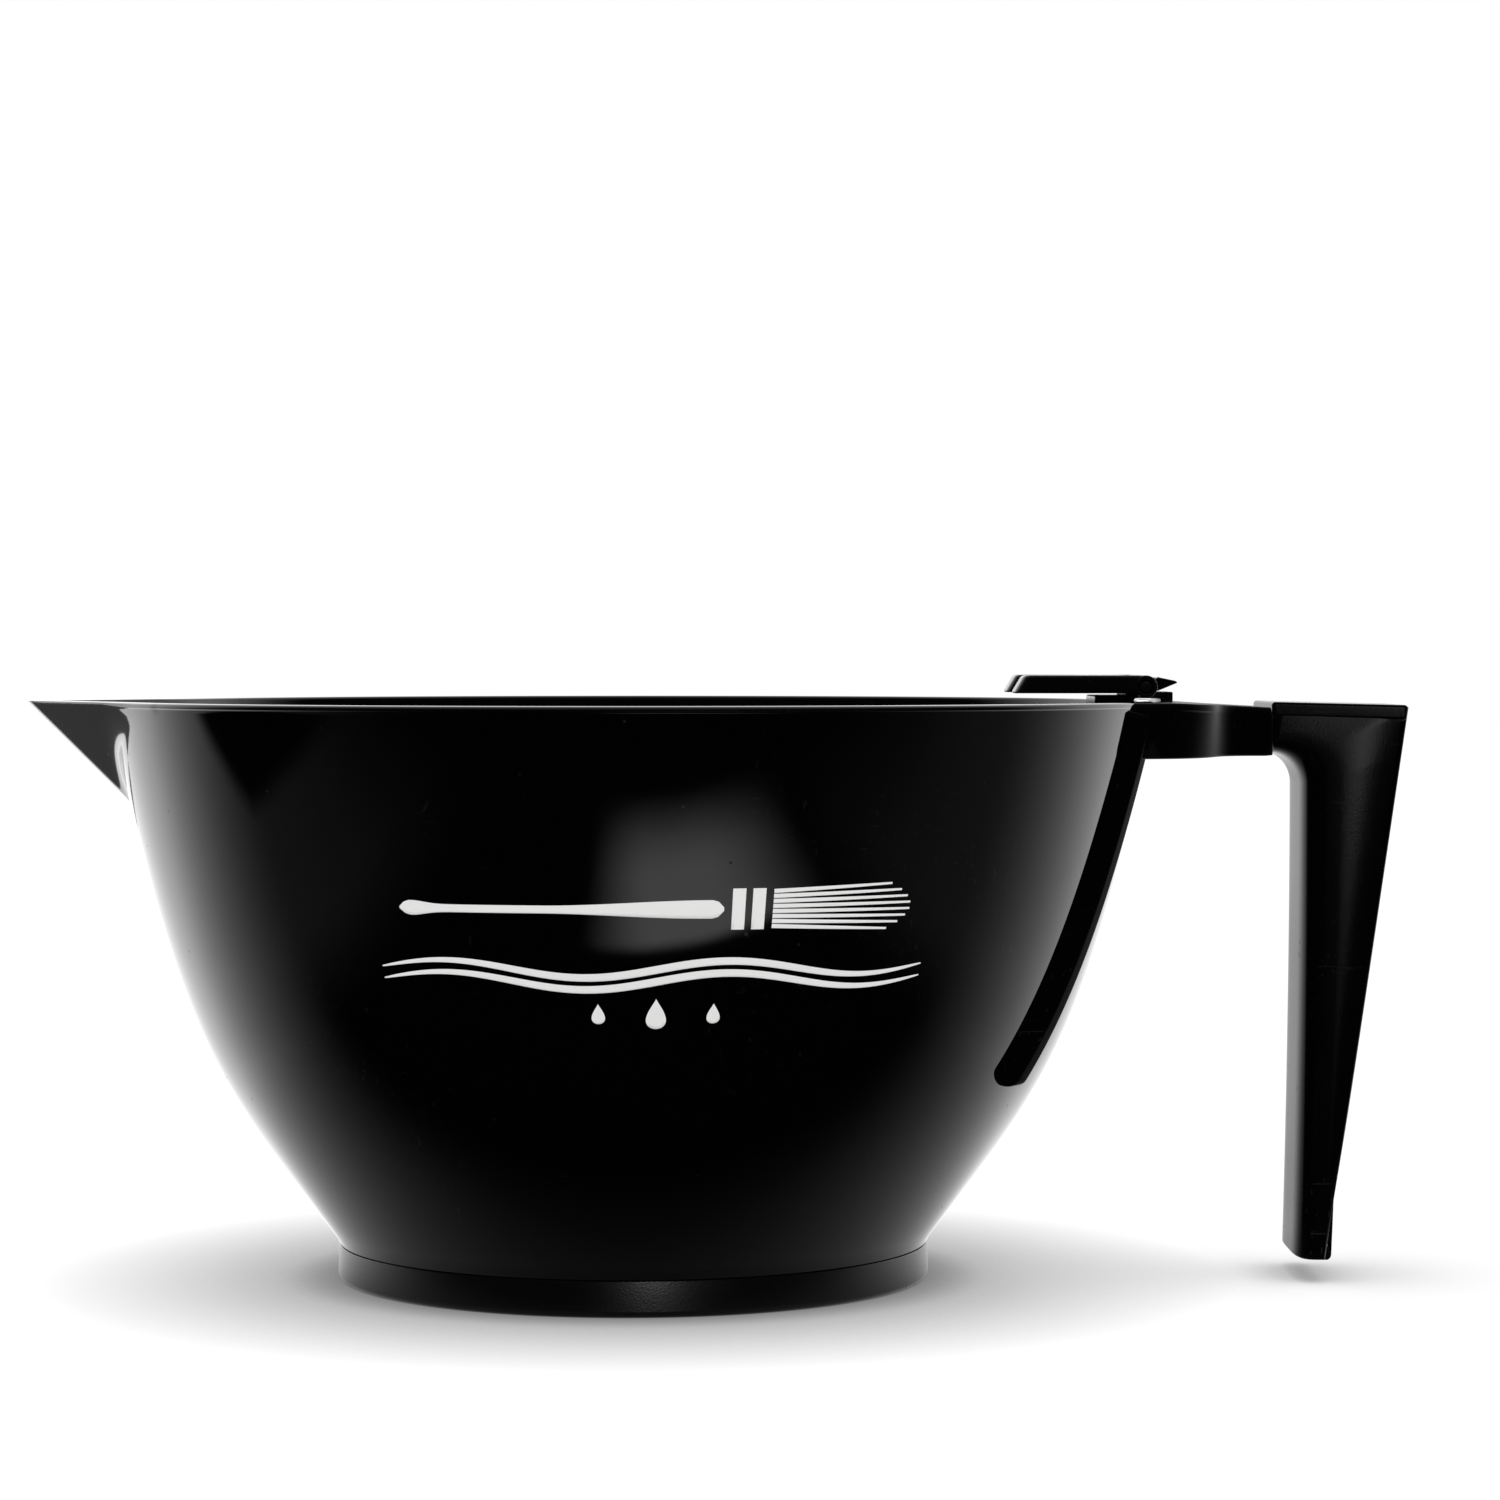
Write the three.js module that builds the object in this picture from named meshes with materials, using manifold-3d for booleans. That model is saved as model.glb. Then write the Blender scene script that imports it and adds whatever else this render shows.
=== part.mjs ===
// Salon tint bowl: a spouted mixing bowl with a rubber foot ring, a handle in two mouldings
// and a hinged brush rest that clips over the rim. Millimetres, +Z up. Everything is drawn
// about the bowl's own axis, and the last group moves the whole so that its box is centred.

import * as THREE from 'three';
import { mergeVertices } from 'three/addons/utils/BufferGeometryUtils.js';
import { ConvexGeometry } from 'three/addons/geometries/ConvexGeometry.js';
import Module from 'manifold-3d';

const wasm = await Module();
wasm.setup();

// ---------------------------------------------------------------- driving dimensions

const gap = 0.3;                 // clearance between pieces that seat on each other
const turns = 64;                // facets round every piece that is turned about the bowl's axis

// bowl
const rimRadius = 65;            // outside of the rim bead
const bowlHeight = 71.5;
const wall = 2.2;
const beadHeight = 1.6;          // rim bead
const beadProud = 0.35;
const wallFootSetIn = 0.3;       // the wall starts this much inside the foot ring's side
const wallFootLean = 36;         // degrees from upright, at the foot
const wallFootPull = 23;         // how far that lean holds
const wallRimLean = 11;          // degrees from upright, at the rim
const wallRimPull = 45;
const floorThickness = 2.6;
const floorRound = 9;            // how far the inside corner of the floor climbs the wall

// spout, a V with flat sides
const spoutLength = 10.5;        // rim to tip
const spoutHalfWidth = 25;       // where its sides meet the rim
const spoutKeelDrop = 0.99;      // fall of the keel for each millimetre towards the bowl
const spoutWall = 2;

// foot ring
const footRadius = 36.8;
const footHeight = 4.4;
const footWall = 4;
const footRound = 0.8;
const spigotWall = 2.5;          // moulded spigot that the ring is pressed over
const spigotLift = 1.2;          // its lower edge above the table

// handle cradle
const cradleHalfWidth = 26.7;    // to the outside of the arm where it meets the bowl
const cradleDepth = 6.3;         // height of the arm's side flanges
const cradleSkin = 2.2;
const armLength = 13;            // rim to the end face that meets the grip
const armTopDrop = 0.2;          // arm top below the rim, at the bowl
const armSlope = 3;              // degrees that the arm's top falls away from the bowl
const neckLength = 1.5;          // straight stretch at the arm's narrow end
const shoulderPull = 0.55;       // share of the shoulder that each end's direction holds
const tongueLength = 9.5;        // into the grip
const tongueRoof = 1.4;          // left above the tongue, in the depth of the arm
const prongDepth = 2.7;          // how far the prongs stand off the wall
const prongWidth = 2.4;
const prongSplay = 5;            // degrees that the prongs spread apart on the way down
const prongEndHeight = 27.8;

// handle grip
const fingerRoom = 17.4;         // rim to the face that the fingers meet
const gripReach = 30.2;          // rim to the outer corner
const gripHalfWidth = 10;
const gripFootHalfWidth = 9.2;
const gripTopStep = 0.1;         // its top face above the arm's, at the seam
const gripCornerDrop = 0.4;      // fall of the top face out to the corner
const gripFootLift = 2.8;        // lower end above the table
const gripFootDepth = 4;         // front to back at the lower end
const gripFootShift = 0.8;       // the finger face comes this much nearer the bowl down there
const gripKneeRadius = 4;
const gripNoseSeamDepth = 2.4;   // how deep the rounded finger face is, at the seam
const gripNoseDepth = 4.5;       // below the knee
const gripNoseFootDepth = 3.3;   // at the lower end
const gripSkin = 1.8;
const gripRibs = 4;
const gripRibThickness = 1.2;
const gripRibSetBack = 1.5;

// hinge and brush rest
const pinSetIn = 2.3;            // pin axis inside the outer edge of the rim
const pinRadius = 0.7;
const pinClearance = 0.15;
const pinProud = 0.3;            // each end beyond the side of the rest
const knuckleRadius = 1.4;
const knuckleLift = 0.35;        // running room between the knuckles and the rim
const knuckleHalfWidth = 6.6;    // the bracket's middle knuckle
const hingeRoom = 0.4;           // running room between the rest and the middle knuckle
const restHalfWidth = 12;
const restLength = 16.1;         // pin axis to the free edge over the bowl
const restThickness = 2.2;
const restBevel = 1.3;           // slant of the wiping edge
const notchHalfWidth = 4.5;      // seat for the neck of a brush
const notchDepth = 9;

// bracket
const lipThickness = 2.8;        // stands inside the rim
const lipDepth = 4;
const shelfReach = 2.4;          // how far the stop shelf stands in from the lip
const shelfThickness = 1.2;
const saddleThickness = 0.8;
const latchThickness = 1.5;      // leg outside the rim, which snaps under the arm
const latchTipDrop = 0.7;        // its tip below the arm's flanges
const latchBarb = 1;
const ledgeStart = 1.8;          // thumb ledge, from the pin axis outwards
const ledgeReach = 4.4;
const ledgeTopHeight = 1.2;      // above the pin axis
const ledgeTipHeight = 0.45;
const ledgeTipThickness = 0.25;

// ---------------------------------------------------------------- levels and places

const spoutReach = rimRadius + spoutLength;
const spoutRootX = -Math.sqrt(rimRadius ** 2 - spoutHalfWidth ** 2);
const spoutFlare = spoutHalfWidth / (spoutReach + spoutRootX);
const wallBottom = footHeight + gap;
const wallFootRadius = footRadius - wallFootSetIn;
const wallTopRadius = rimRadius - beadProud;
const innerRimRadius = wallTopRadius - wall;
const spigotRadius = footRadius - footWall - gap;
const floorTop = footHeight - spigotLift + floorThickness;
const armTop = bowlHeight - armTopDrop;
const armBottom = armTop - cradleDepth;
const armEndX = rimRadius + armLength;
const neckStart = armEndX - neckLength;
const neckHalfWidth = gripHalfWidth - gap;
const tongueHalfWidth = gripHalfWidth - gripSkin - gap;
const tongueBottom = armBottom + gripSkin + gap;
const tongueTop = armTop - tongueRoof;
const prongMiddle = cradleHalfWidth - prongWidth / 2;
const gripSeam = armEndX + gap;
const gripNose = rimRadius + fingerRoom;
const gripFootX = gripNose - gripFootShift;
const gripTop = armTop + gripTopStep;
const handleReach = rimRadius + gripReach;
const kneeRadius = Math.min(gripKneeRadius, gripNose - gripSeam);
const pinAxisX = rimRadius - pinSetIn;
const pinAxisZ = bowlHeight + knuckleLift + knuckleRadius;
const restTop = pinAxisZ + knuckleRadius;
const restBottom = restTop - restThickness;
const restInnerX = pinAxisX - restLength;

// ---------------------------------------------------------------- tools

const degrees = (angle) => THREE.MathUtils.degToRad(angle);

/** A closed geometry as a solid: shared vertices merged and needle triangles left out. */
function solid(geometry) {
  const bare = geometry.clone();
  bare.deleteAttribute('normal');
  bare.deleteAttribute('uv');
  const merged = mergeVertices(bare, 1e-4);
  const corners = [];
  const index = merged.index.array;
  for (let i = 0; i < index.length; i += 3) {
    const [a, b, c] = index.subarray(i, i + 3);
    if (a !== b && b !== c && c !== a) corners.push(a, b, c);
  }
  return new wasm.Manifold(new wasm.Mesh({
    numProp: 3,
    vertProperties: new Float32Array(merged.attributes.position.array),
    triVerts: new Uint32Array(corners),
  }));
}

/** A solid back as a geometry. */
function surface(body) {
  const mesh = body.getMesh();
  const geometry = new THREE.BufferGeometry();
  geometry.setAttribute('position', new THREE.BufferAttribute(mesh.vertProperties, 3));
  geometry.setIndex(new THREE.BufferAttribute(mesh.triVerts, 1));
  return geometry;
}

/** A profile of [radius, height] points turned about the upright axis. */
function turned(points) {
  const profile = points.map(([radius, height]) => new THREE.Vector2(radius, height));
  return new THREE.LatheGeometry(profile, turns).rotateX(Math.PI / 2);
}

/** A box given by its lowest and highest corners. */
function block(low, high) {
  const size = high.map((value, i) => value - low[i]);
  const middle = high.map((value, i) => (value + low[i]) / 2);
  return new THREE.BoxGeometry(...size).translate(...middle);
}

/** An outline of [x, y] points raised from one height to another. */
function raised(points, low, high) {
  const shape = new THREE.Shape(points.map(([x, y]) => new THREE.Vector2(x, y)));
  const options = { depth: high - low, bevelEnabled: false };
  return new THREE.ExtrudeGeometry(shape, options).translate(0, 0, low);
}

/** An outline of [x, z] points drawn out evenly to both sides of the middle plane. */
function sideways(points, halfWidth) {
  const shape = new THREE.Shape(points.map(([x, z]) => new THREE.Vector2(x, z)));
  const options = { depth: 2 * halfWidth, bevelEnabled: false };
  return new THREE.ExtrudeGeometry(shape, options)
    .translate(0, 0, -halfWidth)
    .rotateX(Math.PI / 2);
}

/** A round bar that lies across the object, between two distances from the middle plane. */
function crossBar(radius, x, z, from, to, facets = 24) {
  return new THREE.CylinderGeometry(radius, radius, to - from, facets)
    .translate(0, (from + to) / 2, 0)
    .translate(x, 0, z);
}

/** A skin through rings of equal length, closed by the first and last ring's own outlines. */
function lofted(rings) {
  const count = rings[0].length;
  const positions = rings.flat().flatMap((point) => point.toArray());
  const index = [];
  for (let r = 0; r + 1 < rings.length; r += 1) {
    for (let i = 0; i < count; i += 1) {
      const j = (i + 1) % count;
      const [a, b, c, d] = [r * count + i, r * count + j, (r + 1) * count + i, (r + 1) * count + j];
      index.push(a, c, b, b, c, d);
    }
  }
  const last = (rings.length - 1) * count;
  for (let i = 1; i + 1 < count; i += 1) {
    index.push(0, i, i + 1);
    index.push(last, last + i + 1, last + i);
  }
  const geometry = new THREE.BufferGeometry();
  geometry.setAttribute('position', new THREE.Float32BufferAttribute(positions, 3));
  geometry.setIndex(index);
  return geometry;
}

// ---------------------------------------------------------------- the bowl's wall curve

const outerWall = new THREE.CubicBezierCurve(
  new THREE.Vector2(wallFootRadius, wallBottom),
  new THREE.Vector2(
    wallFootRadius + wallFootPull * Math.sin(degrees(wallFootLean)),
    wallBottom + wallFootPull * Math.cos(degrees(wallFootLean)),
  ),
  new THREE.Vector2(
    wallTopRadius - wallRimPull * Math.sin(degrees(wallRimLean)),
    bowlHeight - wallRimPull * Math.cos(degrees(wallRimLean)),
  ),
  new THREE.Vector2(wallTopRadius, bowlHeight),
);

/** Points of the wall curve from foot to rim, set off sideways from it by a distance. */
function wallPoints(count, offset) {
  return Array.from({ length: count + 1 }, (_, i) => {
    const at = outerWall.getPoint(i / count);
    const along = outerWall.getTangent(i / count);
    return [at.x + offset * along.y, at.y - offset * along.x];
  });
}

/** Outer radius of the wall at a height. */
function wallRadius(height) {
  const points = wallPoints(96, 0);
  const above = Math.max(1, points.findIndex(([, z]) => z >= height));
  const [[r0, z0], [r1, z1]] = [points[above - 1], points[above]];
  return r0 + ((r1 - r0) * (height - z0)) / (z1 - z0);
}

const wallSteps = 12;

/** The bowl's outline set off outwards, as a solid that neighbours are cut back with. */
function bowlEnvelope(offset) {
  const side = wallPoints(wallSteps, offset).filter(([, z]) => z < bowlHeight - beadHeight);
  const beadRadius = rimRadius + offset;
  return solid(turned([
    [0, wallBottom - offset],
    [wallFootRadius + offset, wallBottom - offset],
    ...side.slice(1),
    [wallRadius(bowlHeight - beadHeight) + offset, bowlHeight - beadHeight - offset],
    [beadRadius, bowlHeight - beadHeight + beadProud - offset],
    [beadRadius, bowlHeight + offset],
    [0, bowlHeight + offset],
  ]));
}

// ---------------------------------------------------------------- bowl

/** The space inside the wall, with a round corner at the floor, carried above the rim. */
function bowlHollow(offset) {
  const inner = wallPoints(wallSteps, -wall - offset);
  const side = inner.filter(([, z]) => z > floorTop + floorRound);
  const [startRadius, startHeight] = side[0];
  const [nextRadius, nextHeight] = side[1];
  const lean = (nextRadius - startRadius) / (nextHeight - startHeight);
  const corner = new THREE.Vector2(startRadius - lean * (startHeight - floorTop), floorTop);
  const round = new THREE.QuadraticBezierCurve(
    new THREE.Vector2(corner.x - floorRound, floorTop),
    corner,
    new THREE.Vector2(startRadius, startHeight),
  ).getPoints(5);
  const [topRadius] = side[side.length - 1];
  return solid(turned([
    [0, floorTop],
    ...round.map((point) => [point.x, point.y]),
    ...side.slice(1, -1),
    [topRadius, bowlHeight],
    [topRadius, bowlHeight + wall],
    [0, bowlHeight + wall],
  ]));
}

/** The spout's V as a wedge from its tip into the bowl, moved inwards by a distance. */
function spoutWedge(shift, rise) {
  const reach = 1.5 * (spoutReach + spoutRootX);
  const halfWidth = spoutFlare * reach;
  const corners = [0, rise].flatMap((lift) => [
    new THREE.Vector3(0, 0, lift),
    new THREE.Vector3(reach, halfWidth, lift),
    new THREE.Vector3(reach, -halfWidth, lift),
  ]);
  corners.push(new THREE.Vector3(reach, 0, -spoutKeelDrop * reach));
  return solid(new ConvexGeometry(corners).translate(shift - spoutReach, 0, bowlHeight));
}

/** How far the inside of the spout sits back from the outside for its wall thickness. */
function spoutSetBack() {
  const side = new THREE.Vector3(1, spoutFlare, 0)
    .cross(new THREE.Vector3(1, 0, -spoutKeelDrop));
  return (spoutWall * side.length()) / Math.abs(side.x);
}

function bowlBody() {
  const side = wallPoints(wallSteps, 0).filter(([, z]) => z < bowlHeight - beadHeight);
  const outside = solid(turned([
    [0, floorTop - floorThickness],
    [spigotRadius - spigotWall, floorTop - floorThickness],
    [spigotRadius - spigotWall, spigotLift],
    [spigotRadius, spigotLift],
    [spigotRadius, wallBottom],
    ...side,
    [wallRadius(bowlHeight - beadHeight), bowlHeight - beadHeight],
    [rimRadius, bowlHeight - beadHeight + beadProud],
    [rimRadius, bowlHeight],
    [0, bowlHeight],
  ]));
  return outside
    .add(spoutWedge(0, 0))
    .subtract(bowlHollow(0))
    .subtract(spoutWedge(spoutSetBack(), wall));
}

// ---------------------------------------------------------------- foot ring

function footRing() {
  const inner = footRadius - footWall;
  const roundMiddle = footRound * (1 - Math.SQRT1_2);
  return turned([
    [inner, 0],
    [footRadius - footRound, 0],
    [footRadius - roundMiddle, roundMiddle],
    [footRadius, footRound],
    [footRadius, footHeight],
    [inner, footHeight],
    [inner, 0],
  ]);
}

// ---------------------------------------------------------------- handle cradle

/** Plan of the arm, wide at the bowl and narrow at the grip, brought in all round by a skin. */
function armPlan(inset) {
  const wide = cradleHalfWidth - inset;
  const narrow = neckHalfWidth - inset;
  const shoulderStart = Math.sqrt(rimRadius ** 2 - cradleHalfWidth ** 2) + prongDepth;
  const pull = shoulderPull * (neckStart - shoulderStart);
  const shoulder = new THREE.CubicBezierCurve(
    new THREE.Vector2(shoulderStart, wide),
    new THREE.Vector2(shoulderStart + pull, wide),
    new THREE.Vector2(neckStart - pull, narrow),
    new THREE.Vector2(neckStart, narrow),
  ).getPoints(8);
  const side = [[0, wide], ...shoulder.map(({ x, y }) => [x, y]), [armEndX, narrow]];
  const otherSide = side.map(([x, y]) => [x, -y]);
  return [...otherSide, ...side.reverse()];
}

/** One curved prong that follows the wall down, on the side that the sign names. */
function prong(sign) {
  const endRadius = wallRadius(prongEndHeight) + gap + prongDepth / 2;
  const endY = prongMiddle + Math.tan(degrees(prongSplay)) * (armTop - prongEndHeight);
  const endX = Math.sqrt(endRadius ** 2 - endY ** 2);
  const climb = (wallRadius(prongEndHeight + 1) - wallRadius(prongEndHeight - 1)) / 2;
  const reach = armTop - prongEndHeight;
  const along = new THREE.Vector2(climb, 1).normalize();
  const across = new THREE.Vector2(along.y, -along.x).multiplyScalar(reach);
  const outline = [
    [endX - across.x, prongEndHeight - across.y],
    [endX + across.x, prongEndHeight + across.y],
    [endX + across.x, armTop],
    [endX - across.x, armTop],
  ];
  const halfWidth = prongWidth / 2;
  const slab = solid(sideways([
    [0, prongEndHeight - prongDepth],
    [rimRadius + prongDepth, prongEndHeight - prongDepth],
    [rimRadius + prongDepth, armTop],
    [0, armTop],
  ], halfWidth));
  const roundEnd = new THREE.CylinderGeometry(prongDepth / 2, prongDepth / 2, 4 * prongWidth, 20)
    .rotateZ(sign * Math.asin(endY / endRadius))
    .translate(endX, 0, prongEndHeight);
  const blade = solid(sideways(outline, halfWidth)).add(solid(roundEnd)).intersect(slab);
  const placed = solid(surface(blade)
    .translate(0, 0, -armTop)
    .rotateX(sign * degrees(prongSplay))
    .translate(0, sign * prongMiddle, armTop));
  return placed.intersect(bowlEnvelope(gap + prongDepth));
}

/** Room in the arm for the latch leg of the rest's bracket. */
function latchSlot() {
  const halfWidth = knuckleHalfWidth + gap;
  return solid(block(
    [rimRadius - wall, -halfWidth, armBottom - cradleDepth],
    [rimRadius + gap + latchThickness + gap, halfWidth, bowlHeight + wall],
  ));
}

function cradleBody() {
  const skin = armTop - cradleSkin;
  const hollow = solid(raised(armPlan(cradleSkin), armBottom - cradleSkin, skin));
  const slope = solid(block([0, -rimRadius, 0], [rimRadius, rimRadius, cradleDepth])
    .rotateY(degrees(armSlope))
    .translate(rimRadius, 0, armTop));
  const tongueEnd = gripSeam + tongueLength;
  const chamfer = (tongueTop - tongueBottom) / 2;
  const tongue = solid(sideways([
    [neckStart - cradleSkin, tongueBottom],
    [tongueEnd - chamfer, tongueBottom],
    [tongueEnd, tongueBottom + chamfer],
    [tongueEnd, tongueTop],
    [neckStart - cradleSkin, tongueTop],
  ], tongueHalfWidth));
  return solid(raised(armPlan(0), armBottom, armTop))
    .subtract(hollow)
    .subtract(slope)
    .add(tongue)
    .add(prong(1))
    .add(prong(-1))
    .subtract(bowlEnvelope(gap))
    .subtract(latchSlot());
}

// ---------------------------------------------------------------- handle grip

/** Stations down the grip: the finger face, the outer edge, half width and nose depth. */
function gripStations() {
  const { lerp } = THREE.MathUtils;
  const seamEdge = new THREE.Vector2(gripSeam, gripTop);
  const corner = new THREE.Vector2(handleReach, gripTop - gripCornerDrop);
  const foot = new THREE.Vector2(gripFootX + gripFootDepth, gripFootLift);
  const kneeZ = armBottom - kneeRadius;
  const legEdge = corner.clone().lerp(foot, cradleDepth / (corner.y - foot.y));
  const stations = [{
    nose: new THREE.Vector2(gripSeam, armBottom),
    edge: seamEdge,
    halfWidth: gripHalfWidth,
    noseDepth: gripNoseSeamDepth,
  }];
  const kneeSteps = 8;
  for (let i = 1; i <= kneeSteps; i += 1) {
    const turn = (Math.PI / 2) * (i / kneeSteps);
    const share = (2 * i) / kneeSteps;
    const edge = share <= 1
      ? seamEdge.clone().lerp(corner, share)
      : corner.clone().lerp(legEdge, share - 1);
    stations.push({
      nose: new THREE.Vector2(
        gripNose - kneeRadius * (1 - Math.sin(turn)),
        kneeZ + kneeRadius * Math.cos(turn),
      ),
      edge,
      halfWidth: gripHalfWidth,
      noseDepth: lerp(gripNoseSeamDepth, gripNoseDepth, Math.min(1, share)),
    });
  }
  const legSteps = 6;
  for (let i = 1; i <= legSteps; i += 1) {
    const share = i / legSteps;
    stations.push({
      nose: new THREE.Vector2(
        gripNose - gripFootShift * share ** 2,
        lerp(kneeZ, gripFootLift, share),
      ),
      edge: legEdge.clone().lerp(foot, share),
      halfWidth: lerp(gripHalfWidth, gripFootHalfWidth, share),
      noseDepth: lerp(gripNoseDepth, gripNoseFootDepth, share),
    });
  }
  return stations;
}

/** The grip's outer form: flat sides closed by a half-oval nose that the fingers curl round. */
function gripForm(inset) {
  const noseFacets = 10;
  return solid(lofted(gripStations().map(({ nose, edge, halfWidth, noseDepth }) => {
    const back = edge.clone().sub(nose).normalize();
    const tip = nose.clone().addScaledVector(back, inset);
    const end = edge.clone().addScaledVector(back, inset);
    const width = halfWidth - inset;
    const depth = noseDepth * (width / halfWidth);
    const ring = [new THREE.Vector3(end.x, width, end.y)];
    for (let i = 0; i <= noseFacets; i += 1) {
      const turn = Math.PI * (i / noseFacets);
      const at = tip.clone().addScaledVector(back, depth * (1 - Math.sin(turn)));
      ring.push(new THREE.Vector3(at.x, width * Math.cos(turn), at.y));
    }
    ring.push(new THREE.Vector3(end.x, -width, end.y));
    return ring;
  })));
}

/** Cross ribs inside the leg, each set back from the open side. */
function gripRibBlocks() {
  const { lerp } = THREE.MathUtils;
  return Array.from({ length: gripRibs }, (_, i) => {
    const height = lerp(armBottom - kneeRadius, gripFootLift, i / gripRibs);
    const share = (gripTop - height) / (gripTop - gripFootLift);
    const edgeX = lerp(handleReach, gripFootX + gripFootDepth, share);
    return solid(block(
      [0, -gripHalfWidth, height - gripRibThickness],
      [edgeX - gripRibSetBack, gripHalfWidth, height],
    ));
  });
}

function gripBody() {
  const form = gripForm(0);
  const roof = gripTop - gripCornerDrop - gripSkin;
  const below = block(
    [gripSeam + gripSkin, -gripHalfWidth, gripFootLift + gripSkin],
    [handleReach + gripSkin, gripHalfWidth, roof],
  );
  const socket = solid(block(
    [armEndX, -tongueHalfWidth - gap, tongueBottom - gap],
    [gripSeam + tongueLength + gap, tongueHalfWidth + gap, tongueTop + gap],
  ));
  let hollow = gripForm(gripSkin).intersect(solid(below));
  for (const rib of gripRibBlocks()) hollow = hollow.subtract(rib);
  return form.subtract(hollow).subtract(socket);
}

// ---------------------------------------------------------------- hinge, bracket and rest

/** The outside of a knuckle and the bore for the pin, across one stretch of the hinge. */
const knuckle = (from, to) => solid(crossBar(knuckleRadius, pinAxisX, pinAxisZ, from, to));
const pinBore = () => solid(crossBar(
  pinRadius + pinClearance, pinAxisX, pinAxisZ, -rimRadius, rimRadius,
));

function bracketBody() {
  const across = knuckleHalfWidth;
  const saddleBottom = bowlHeight + gap;
  const lipInnerX = innerRimRadius - lipThickness;
  const latchOuter = rimRadius + gap + latchThickness;
  const shelfTop = restBottom - gap;
  const lip = block(
    [lipInnerX, -across, bowlHeight - lipDepth],
    [rimRadius, across, saddleBottom + saddleThickness],
  );
  const shelf = block(
    [lipInnerX - shelfReach, -across, shelfTop - shelfThickness],
    [innerRimRadius - lipThickness / 2, across, shelfTop],
  );
  const underArm = armTop - cradleSkin - gap;
  const latch = sideways([
    [rimRadius - wall, saddleBottom + saddleThickness],
    [rimRadius - wall, armBottom + latchTipDrop],
    [latchOuter - latchThickness / 2, armBottom - latchTipDrop],
    [latchOuter, armBottom + latchTipDrop],
    [latchOuter, underArm - 2 * latchBarb],
    [latchOuter + latchBarb, underArm - latchBarb],
    [latchOuter + latchBarb, underArm - latchBarb / 2],
    [latchOuter, underArm],
    [latchOuter, saddleBottom + saddleThickness],
  ], across);
  const ledge = sideways([
    [pinAxisX, saddleBottom],
    [pinAxisX + ledgeStart, saddleBottom + saddleThickness],
    [pinAxisX + ledgeReach, pinAxisZ + ledgeTipHeight],
    [pinAxisX + ledgeReach - ledgeTipThickness, pinAxisZ + ledgeTipHeight + ledgeTipThickness],
    [pinAxisX + ledgeStart, pinAxisZ + ledgeTopHeight],
    [pinAxisX, pinAxisZ + ledgeTopHeight],
  ], across);
  const rimRoom = bowlEnvelope(gap).subtract(bowlHollow(gap));
  const restRoom = solid(block(
    [0, -restHalfWidth, shelfTop],
    [pinAxisX - knuckleRadius - hingeRoom / 2, restHalfWidth, restTop + restThickness],
  ));
  return solid(lip)
    .add(solid(latch))
    .subtract(restRoom)
    .add(solid(shelf))
    .add(knuckle(-across, across))
    .add(solid(ledge))
    .subtract(rimRoom)
    .subtract(pinBore());
}

function restBody() {
  const plate = sideways([
    [restInnerX, restBottom],
    [pinAxisX, restBottom],
    [pinAxisX, restTop],
    [restInnerX + restBevel, restTop],
  ], restHalfWidth);
  const seat = notchDepth - notchHalfWidth;
  const notch = new THREE.CylinderGeometry(notchHalfWidth, notchHalfWidth, 3 * restThickness, 24)
    .rotateX(Math.PI / 2)
    .translate(restInnerX + seat, 0, restTop);
  const mouth = block(
    [restInnerX - restThickness, -notchHalfWidth, restBottom - restThickness],
    [restInnerX + seat, notchHalfWidth, restTop + restThickness],
  );
  const middle = block(
    [pinAxisX - knuckleRadius - hingeRoom, -knuckleHalfWidth - gap, restBottom - knuckleRadius],
    [pinAxisX + 2 * knuckleRadius, knuckleHalfWidth + gap, restTop + restThickness],
  );
  return solid(plate)
    .add(knuckle(-restHalfWidth, restHalfWidth))
    .subtract(solid(notch))
    .subtract(solid(mouth))
    .subtract(solid(middle))
    .subtract(pinBore());
}

function hingePin() {
  const reach = restHalfWidth + pinProud;
  return crossBar(pinRadius, pinAxisX, pinAxisZ, -reach, reach);
}

// ---------------------------------------------------------------- the object

const finish = (color, roughness, metalness = 0) => (
  new THREE.MeshStandardMaterial({ color, roughness, metalness })
);
const glossBlack = finish(0x0b0b0c, 0.12);
const satinBlack = finish(0x101011, 0.42);
const rubberBlack = finish(0x0d0d0d, 0.6);
const pinBlack = finish(0x161617, 0.35, 0.6);

const pieces = [
  ['bowl', surface(bowlBody()), glossBlack],
  ['foot_ring', footRing(), rubberBlack],
  ['handle_cradle', surface(cradleBody()), satinBlack],
  ['handle_grip', surface(gripBody()), satinBlack],
  ['rest_bracket', surface(bracketBody()), satinBlack],
  ['brush_rest', surface(restBody()), satinBlack],
  ['hinge_pin', hingePin(), pinBlack],
];

const group = new THREE.Group();
for (const [name, geometry, material] of pieces) {
  const mesh = new THREE.Mesh(geometry, material);
  mesh.name = name;
  group.add(mesh);
}
group.position.x = (spoutReach - handleReach) / 2;

export default group;
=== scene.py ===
"""Salon tint bowl with a pouring spout, a downturned handle and a hinged brush rest.

The bowl is one glossy moulding on a rubber foot ring. The handle is two satin mouldings: a
cradle, whose two curved prongs hug the wall, and a hollow grip that slides over its tongue.
A bracket saddles the rim and carries the brush rest on a wire pin. All shapes are worked out
in millimetres about the bowl's own upright axis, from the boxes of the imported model, and are
put into the meshes in metres in the model's frame.
"""

from __future__ import annotations

import logging
import math
from dataclasses import dataclass
from enum import Enum
from functools import cached_property

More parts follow.
